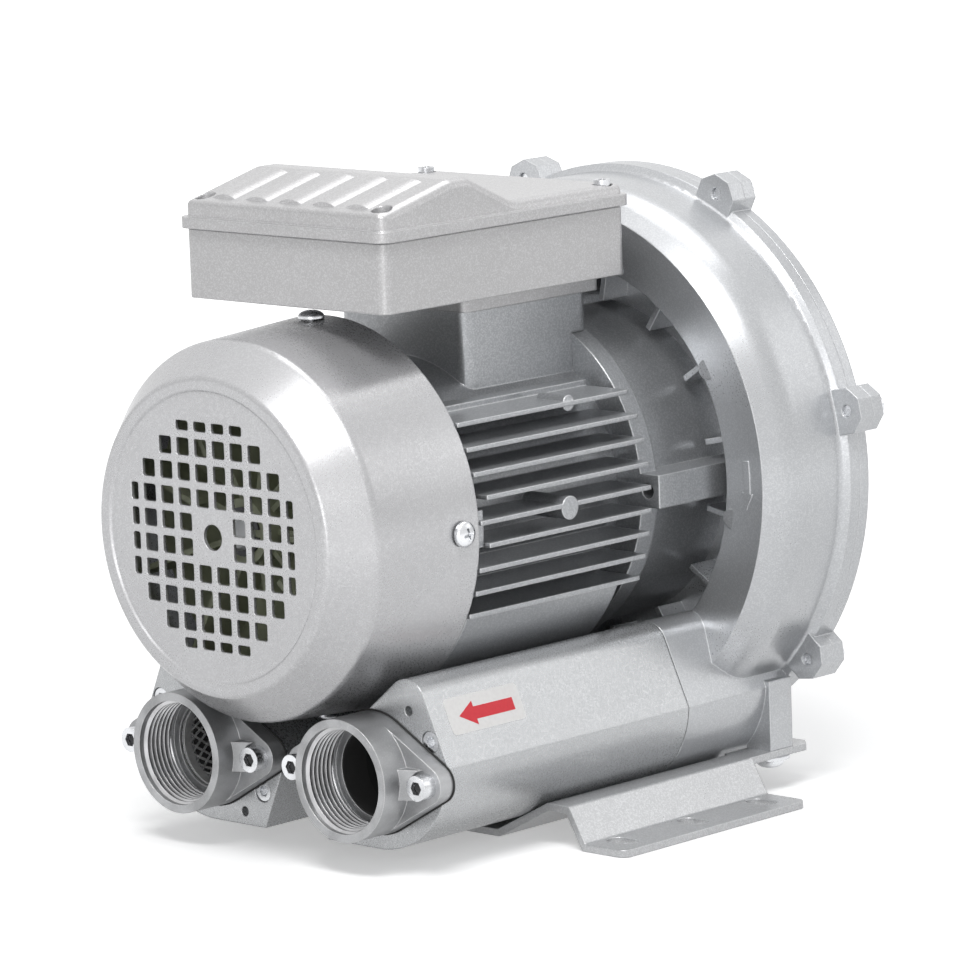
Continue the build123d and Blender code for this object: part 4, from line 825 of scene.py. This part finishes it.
@dataclass
class Motor:
    """Finned frame, drive end, core, winding and bearings."""

    painted: tuple[str, ...] = ("motor_frame", "drive_end_shield")

    def build(self) -> None:
        """Dress the motor from the outside in."""
        dress(self.painted, Coat.MOTOR)
        dress(["stator_core", "rotor_core"], Coat.SHEETS)
        dress(["stator_winding"], Coat.COPPER)
        dress(["shaft", "rear_bearing_outer", "rear_bearing_inner", "rear_bearing_balls",
               "front_bearing_outer", "front_bearing_inner", "front_bearing_balls"], Coat.GROUND_STEEL)
        dress(["rear_bearing_cage", "front_bearing_cage"], Coat.BRASS)
        dress(["preload_spring", "flange_screws"], Coat.DARK_STEEL)
        dress(["shaft_seal"], Coat.RUBBER)


@dataclass
class Blower:
    """Channel housing with its cover, impeller and the cast arrow of rotation."""

    arrow_radius: float = 0.0984
    arrow_height: float = 0.0004
    arrow_root: float = -0.0002
    arrow_slope: float = 0.0003
    shaft_steps: int = 24
    tip_steps: int = 6
    tip_half_width: float = 0.00005
    shaft_half_width: float = 0.0022
    head_half_width: float = 0.0037
    tail_angle: float = 5.7
    head_angle: float = -1.9
    tip_angle: float = -6.0
    inner_ring: tuple[float, float] = (0.0842, 0.0464)
    outer_ring: tuple[float, float] = (0.1082, 0.0411)

    def on_annulus(self, radius: float, degrees: float, lift: float) -> Vector:
        """A point on the sloping front ring of the housing.

        Args:
            radius: Distance from the motor axis.
            degrees: Angle from +X towards +Z.
            lift: Height above the casting.

        Returns:
            The point.
        """
        (r_in, y_in), (r_out, y_out) = self.inner_ring, self.outer_ring
        y = y_in + (radius - r_in) / (r_out - r_in) * (y_out - y_in) - lift
        angle = math.radians(degrees)
        return Vector((radius * math.cos(angle), y, AXIS_HEIGHT + radius * math.sin(angle)))

    def arrow(self) -> bpy.types.Object:
        """Raised arrow that shows which way the impeller turns.

        Returns:
            The arrow.
        """
        stations = [(self.tail_angle + (self.head_angle - self.tail_angle) * i / self.shaft_steps,
                     self.shaft_half_width) for i in range(self.shaft_steps + 1)]
        stations += [(self.head_angle, self.head_half_width)]
        stations += [(self.head_angle + (self.tip_angle - self.head_angle) * i / self.tip_steps,
                      self.head_half_width * (1 - i / self.tip_steps) + self.tip_half_width)
                     for i in range(1, self.tip_steps + 1)]
        rings = []
        for degrees, half in stations:
            slope = min(self.arrow_slope, half * 0.5)
            rings.append([self.on_annulus(self.arrow_radius - half, degrees, self.arrow_root),
                          self.on_annulus(self.arrow_radius + half, degrees, self.arrow_root),
                          self.on_annulus(self.arrow_radius + half - slope, degrees, self.arrow_height),
                          self.on_annulus(self.arrow_radius - half + slope, degrees, self.arrow_height)])
        return as_piece("rotation_arrow", mesh_of(*swept(rings)), Coat.HOUSING)

    def build(self) -> None:
        """Make the arrow and dress the blower."""
        self.arrow()
        dress(["blower_housing", "housing_cover"], Coat.HOUSING)
        dress(["cover_bolts", "impeller_screw", "impeller_washer"], Coat.ZINC)
        dress(["impeller"], Coat.FLANGE)
        dress(["impeller_key"], Coat.GROUND_STEEL)


@dataclass
class PipeThread:
    """Helical ridge of a pipe thread in the mouth of a port."""

    flange: str
    pitch: float = 0.002309
    root_radius: float = 0.02095
    depth: float = 0.00142
    start: float = 0.0011
    length: float = 0.0176
    per_turn: int = 90
    lead_turns: float = 0.35

    def build(self) -> bpy.types.Object:
        """Sweep the ridge along its helix, tapering at both ends.

        Returns:
            The thread.
        """
        low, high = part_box(self.flange)
        centre = (low + high) / 2
        turns = (self.length - self.pitch) / self.pitch
        steps = int(turns * self.per_turn)
        rings = []
        for i in range(steps + 1):
            turn = i / self.per_turn
            angle = -2 * math.pi * turn
            lead = min(1.0, turn / self.lead_turns, (turns - turn) / self.lead_turns)
            height = self.depth * max(lead, 0.03)
            y = low.y + self.start + self.pitch * (turn + 0.5)
            section = [(self.root_radius + 0.0001, -0.47), (self.root_radius - height, -0.13),
                       (self.root_radius - height, 0.13), (self.root_radius + 0.0001, 0.47)]
            rings.append([Vector((centre.x + radius * math.cos(angle), y + share * self.pitch,
                                  centre.z + radius * math.sin(angle))) for radius, share in section])
        return as_piece(f"{self.flange}_thread", mesh_of(*swept(rings)), Coat.THREAD)


@dataclass
class Ports:
    """Threaded flanges, the mesh tube of the inlet and the bolts."""

    strands: int = 25
    strand_width: float = 0.00085
    strand_thickness: float = 0.0006
    cell_length: float = 0.0062
    end_band: float = 0.003
    band_overlap: float = 0.3
    # Size and place of the black ring of painted shade in the outlet's throat.
    shade_ring_inner: float = 0.0170
    shade_ring_outer: float = 0.0177
    shade_ring_lead: float = 0.0008
    shade_ring_length: float = 0.012
    round_steps: int = 72
    bolt_reach: float = 0.034
    socket_depth: float = 0.0022
    socket_radius: float = 0.0026
    socket_corners: int = 6
    # Thickness of the black discs of painted shade in the bolt sockets.
    shade_disc_depth: float = 0.0002

    def lattice(self) -> bpy.types.Object:
        """Diamond mesh rolled into a tube, with a plain band at each end.

        Returns:
            The tube.
        """
        low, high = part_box("inlet_mesh_tube")
        centre = (low + high) / 2
        radius = (high.x - low.x) / 2 - self.strand_thickness / 2
        cell_width = 2 * math.pi * radius / self.strands
        first, last = low.y + self.end_band, high.y - self.end_band
        rows = 2 * round((last - first) / self.cell_length)
        half_length = (last - first) / rows
        slope = math.hypot(cell_width / 2, half_length)
        inset = self.strand_width / 2 * slope

        def rolled(around: float, along: float) -> Vector:
            """Roll a flat point onto the tube."""
            angle = around / radius
            return Vector((centre.x + radius * math.cos(angle), along, centre.z + radius * math.sin(angle)))

        points, faces = [], []
        gap_x, gap_y = inset / half_length, inset / (cell_width / 2)
        for row in range(rows - 1):
            for column in range(self.strands):
                x = (column + row % 2 / 2) * cell_width
                y = first + (row + 1) * half_length
                outer = [(x + cell_width / 2, y), (x, y + half_length),
                         (x - cell_width / 2, y), (x, y - half_length)]
                inner = [(x + cell_width / 2 - gap_x, y), (x, y + half_length - gap_y),
                         (x - cell_width / 2 + gap_x, y), (x, y - half_length + gap_y)]
                base = len(points)
                points += [rolled(*corner) for corner in outer + inner]
                faces += [[base + k, base + (k + 1) % 4, base + 4 + (k + 1) % 4, base + 4 + k]
                          for k in range(4)]
        around = self.strands * 2
        overlap = half_length * self.band_overlap
        for near, far in ((low.y, first + overlap), (last - overlap, high.y)):
            rings = [[rolled(k * cell_width / 2, y) for k in range(around)] for y in (near, far)]
            base = len(points)
            more_points, more_faces = swept(rings, capped=False)
            points += more_points
            faces += [[index + base for index in face] for face in more_faces]
        flat = mesh_of(points, faces, smooth=False, weld=1e-5)

        def thicken(carrier: bpy.types.Object) -> None:
            """Give the sheet its thickness."""
            modifier = carrier.modifiers.new("sheet", "SOLIDIFY")
            modifier.thickness, modifier.offset = self.strand_thickness, 0.0

        return as_piece("inlet_expanded_mesh", applied(flat, thicken), Coat.MESH,
                        ["inlet_mesh_tube"])

    def throat(self) -> bpy.types.Object:
        """Black ring of painted shade where the outlet's thread runs into the silencer.

        Returns:
            The ring of painted shade.
        """
        low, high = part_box("outlet_flange")
        centre = (low + high) / 2
        front, back = high.y - self.shade_ring_lead, high.y + self.shade_ring_length
        rings = []
        for radius, y in ((self.shade_ring_inner, front), (self.shade_ring_outer, front),
                          (self.shade_ring_outer, back), (self.shade_ring_inner, back)):
            rings.append([Vector((centre.x + radius * math.cos(a), y, centre.z + radius * math.sin(a)))
                          for a in (2 * math.pi * k / self.round_steps for k in range(self.round_steps))])
        return as_piece("outlet_throat_shade", mesh_of(*swept(rings, closed=True)), Coat.RUBBER)

    def sockets(self) -> bpy.types.Object:
        """Black discs in the sockets of the flange bolts, as painted shade of the recesses.

        Returns:
            The four discs of painted shade.
        """
        low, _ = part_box("flange_bolts")
        y = low.y + self.socket_depth
        places = []
        for flange in ("outlet_flange", "inlet_flange"):
            near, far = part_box(flange)
            middle = (near + far) / 2
            places += [Matrix.Translation((middle.x + side * self.bolt_reach, y, middle.z))
                       for side in (-1, 1)]
        ring = [Vector((self.socket_radius * math.cos(a), 0.0, self.socket_radius * math.sin(a)))
                for a in (math.pi / 3 * k for k in range(self.socket_corners))]
        lid = [corner - Vector((0.0, self.shade_disc_depth, 0.0)) for corner in ring]
        return as_piece("flange_bolt_socket_shade", joined(mesh_of(*swept([ring, lid]), smooth=False), places),
                        Coat.BLACK_PLASTIC)

    def build(self) -> None:
        """Make threads and mesh, and dress the ports."""
        for flange in ("outlet_flange", "inlet_flange"):
            PipeThread(flange).build()
        self.lattice()
        self.throat()
        self.sockets()
        dress(["outlet_flange", "inlet_flange"], Coat.FLANGE)
        dress(["flange_bolts"], Coat.ZINC)
        dress(["flange_gaskets"], Coat.RUBBER)


@dataclass
class Silencers:
    """Silencer bodies with their foam, seals and the flow label on the outlet side."""

    label_front: float = -0.1106
    label_back: float = -0.0696
    label_low: float = 0.0120
    label_high: float = 0.0267
    label_corner: float = 0.0018
    label_thickness: float = 0.00012
    label_sink: float = 0.00002
    arrow_lift: float = 0.00004
    arrow_tip: float = -0.1046
    arrow_neck: float = -0.0958
    arrow_tail: float = -0.0741
    head_low: float = 0.0141
    head_high: float = 0.0238
    shaft_low: float = 0.0164
    shaft_high: float = 0.0214
    flat_foot: tuple[float, float] = (0.084705, 0.043386)
    flat_top: tuple[float, float] = (0.067430, 0.082296)

    def on_flat(self, along: float, up: float, lift: float) -> Vector:
        """A point on the outer flat of the outlet silencer.

        Args:
            along: Position along the motor axis.
            up: Distance from the flat's lower edge.
            lift: Height above the surface.

        Returns:
            The point.
        """
        foot, top = Vector(self.flat_foot), Vector(self.flat_top)
        rise = (top - foot).normalized()
        out = Vector((rise.y, -rise.x))
        spot = foot + rise * up + out * lift
        return Vector((spot.x, along, spot.y))

    def plate(self, outline: Sequence[tuple[float, float]], low: float, high: float) -> bpy.types.Mesh:
        """Thin plate on the flat.

        Args:
            outline: Corners as positions along the axis and up the flat.
            low: Height of its back.
            high: Height of its face.

        Returns:
            The mesh.
        """
        rings = [[self.on_flat(along, up, lift) for along, up in outline] for lift in (low, high)]
        return mesh_of(*swept(rings), smooth=False)

    def label(self) -> None:
        """White label with rounded corners and a red arrow against the flow's mouth."""
        corners = [(self.label_back, self.label_high, 0), (self.label_front, self.label_high, 90),
                   (self.label_front, self.label_low, 180), (self.label_back, self.label_low, 270)]
        outline = []
        for along, up, start in corners:
            inward_x = -1 if along == self.label_back else 1
            inward_y = -1 if up == self.label_high else 1
            centre = (along + inward_x * self.label_corner, up + inward_y * self.label_corner)
            for step in range(7):
                angle = math.radians(start + 90 * step / 6)
                outline.append((centre[0] + self.label_corner * math.cos(angle),
                                centre[1] + self.label_corner * math.sin(angle)))
        label = self.plate(outline, -self.label_sink, self.label_thickness)
        as_piece("outlet_flow_label", label, Coat.LABEL_WHITE)
        middle = (self.head_low + self.head_high) / 2
        arrow = [(self.arrow_tip, middle), (self.arrow_neck, self.head_low),
                 (self.arrow_neck, self.shaft_low), (self.arrow_tail, self.shaft_low),
                 (self.arrow_tail, self.shaft_high),
                 (self.arrow_neck, self.shaft_high), (self.arrow_neck, self.head_high)]
        face = self.label_thickness
        print_mesh = self.plate(arrow, face - self.label_sink, face + self.arrow_lift)
        as_piece("outlet_flow_arrow", print_mesh, Coat.LABEL_RED)

    def build(self) -> None:
        """Make the label and dress the silencers."""
        self.label()
        dress(["outlet_silencer", "inlet_silencer"], Coat.SILENCER)
        dress(["outlet_foam", "inlet_foam"], Coat.FOAM)
        dress(["outlet_silencer_gasket", "inlet_silencer_gasket"], Coat.RUBBER)
        dress(["silencer_screws"], Coat.ZINC)


@dataclass
class Foot:
    """Bent bracket under the silencers."""

    def build(self) -> None:
        """Dress the bracket and its screws."""
        dress(["foot_bracket"], Coat.BRACKET)
        dress(["foot_screws"], Coat.ZINC)


@dataclass
class TerminalBox:
    """Collar, box and lid with everything inside them."""

    def build(self) -> None:
        """Dress the box from the outside in."""
        dress(["box_collar", "terminal_box", "terminal_lid"], Coat.BOX)
        dress(["lid_gasket", "gland_seal"], Coat.RUBBER)
        dress(["cable_gland", "gland_nut", "blanking_plug"], Coat.BLACK_PLASTIC)
        dress(["terminal_block"], Coat.BOARD)
        dress(["terminal_studs", "terminal_nuts"], Coat.BRASS)
        dress(["run_capacitor"], Coat.CAN)
        dress(["lid_screws", "box_screws", "earth_screw", "capacitor_clip"], Coat.ZINC)


# ---------------------------------------------------------------- studio
@dataclass(frozen=True)
class SoftLight:
    """A rectangular lamp that points at the machine."""

    name: str
    place: Point
    size: tuple[float, float]
    power: float
    colour: Colour = (1.0, 1.0, 1.0)

    def build(self, target: Vector) -> None:
        """Hang the lamp.

        Args:
            target: What it points at.
        """
        lamp = bpy.data.lights.new(self.name, "AREA")
        lamp.shape = "RECTANGLE"
        lamp.size, lamp.size_y = self.size
        lamp.energy = self.power
        lamp.color = self.colour
        holder = bpy.data.objects.new(self.name, lamp)
        holder.location = self.place
        holder.rotation_euler = (target - Vector(self.place)).to_track_quat("-Z", "Y").to_euler()
        bpy.context.scene.collection.objects.link(holder)


@dataclass
class Studio:
    """White floor and surround, soft lamps and the camera."""

    floor_size: float = 60.0
    floor_level: float = -0.0002
    floor_colour: Colour = (0.9, 0.9, 0.9)
    floor_bounce: Colour = (0.14, 0.14, 0.14)
    near_glow: float = 0.34
    far_glow: float = 1.0
    glow_reach: tuple[float, float] = (0.3, 1.6)
    fill: Colour = (0.28, 0.285, 0.29)
    focal_length: float = 217.346
    sensor: float = 36.0
    camera_place: Point = (1.60024, -1.67442, 0.51520)
    azimuth: float = 43.839
    elevation: float = 9.411
    roll: float = -2.093
    lamps: list[SoftLight] = field(default_factory=lambda: [
        SoftLight("key_panel", (0.55, -0.70, 1.45), (0.8, 0.5), 16.0),
        SoftLight("top_panel", (-0.1, 0.5, 1.9), (1.2, 1.2), 12.0),
        SoftLight("rim_panel", (1.05, 1.25, 0.85), (1.0, 0.7), 1.6),
        SoftLight("front_panel", (1.2, -1.6, 0.55), (0.8, 0.8), 5.5),
    ])

    def floor(self) -> None:
        """Plain floor that glows for the eye and still takes the shadow."""
        half = self.floor_size / 2
        level = self.floor_level
        points = [(-half, -half, level), (half, -half, level), (half, half, level), (-half, half, level)]
        mesh = mesh_of(points, [(0, 1, 2, 3)], smooth=False)
        graph = Graph(bpy.data.materials.new("studio_floor"))
        distance = graph.add("ShaderNodeVectorMath", {"operation": "LENGTH"}, {0: graph.place()}, "Value")
        glow = self.near_glow + (self.far_glow - self.near_glow) * distance.between(*self.glow_reach)
        shine = graph.add("ShaderNodeEmission", None, {"Color": (1.0, 1.0, 1.0, 1.0)})
        dark = graph.add("ShaderNodeEmission", None, {"Color": (0.0, 0.0, 0.0, 1.0)})
        glowing = graph.add("ShaderNodeMixShader", None, {0: glow, 1: dark, 2: shine})
        lit = graph.add("ShaderNodeBsdfDiffuse", None, {"Color": (*self.floor_colour, 1.0)})
        both = graph.add("ShaderNodeAddShader", None, {0: glowing, 1: lit})
        bounce = graph.add("ShaderNodeBsdfDiffuse", None, {"Color": (*self.floor_bounce, 1.0)})
        mixed = graph.add("ShaderNodeMixShader", None, {0: self.seen_directly(graph), 1: bounce, 2: both})
        mesh.materials.append(graph.close(mixed))
        sheet = bpy.data.objects.new("floor", mesh)
        bpy.context.scene.collection.objects.link(sheet)

    @staticmethod
    def seen_directly(graph: "Graph") -> Wire:
        """Mask of rays that should meet the white surround.

        Args:
            graph: Where the Light Path node goes.

        Returns:
            1 for camera, glossy and transmission rays.
        """
        camera = graph.add("ShaderNodeLightPath", output="Is Camera Ray")
        glossy = Wire(graph, camera.socket.node.outputs["Is Glossy Ray"])
        through = Wire(graph, camera.socket.node.outputs["Is Transmission Ray"])
        return camera.worked("MAXIMUM", camera.worked("MAXIMUM", camera, glossy), through)

    def surround(self) -> None:
        """World that is white to the eye and a soft fill to the machine."""
        world = bpy.data.worlds.new("surround")
        bpy.context.scene.world = world
        graph = Graph(world)
        colour = graph.blend(self.seen_directly(graph), self.fill, (1.0, 1.0, 1.0))
        light = graph.add("ShaderNodeBackground", None, {"Color": colour, "Strength": 1.0})
        graph.close(light, "ShaderNodeOutputWorld")

    def camera(self) -> None:
        """Camera at the machine's fan end, a little to the right and above."""
        eye = bpy.data.cameras.new("camera")
        eye.lens, eye.sensor_width = self.focal_length, self.sensor
        eye.clip_start, eye.clip_end = 0.05, 200.0
        holder = bpy.data.objects.new("camera", eye)
        turn = (Matrix.Rotation(math.radians(self.azimuth), 4, "Z")
                @ Matrix.Rotation(math.radians(90 - self.elevation), 4, "X")
                @ Matrix.Rotation(math.radians(self.roll), 4, "Z"))
        holder.matrix_world = Matrix.Translation(self.camera_place) @ turn
        bpy.context.scene.collection.objects.link(holder)
        bpy.context.scene.camera = holder

    def build(self) -> None:
        """Set up the studio round the machine."""
        low, high = CAD_BOX
        self.camera()
        self.floor()
        self.surround()
        for lamp in self.lamps:
            lamp.build((low + high) / 2)
        bpy.context.scene.view_settings.view_transform = "Standard"


def main() -> None:
    """Build the studio and every sub-assembly in order."""
    for part in (Studio(), FanEnd(), Motor(), Blower(), Ports(), Silencers(), Foot(), TerminalBox()):
        part.build()
        log.info("%s is done", type(part).__name__)


if __name__ == "__main__":
    main()
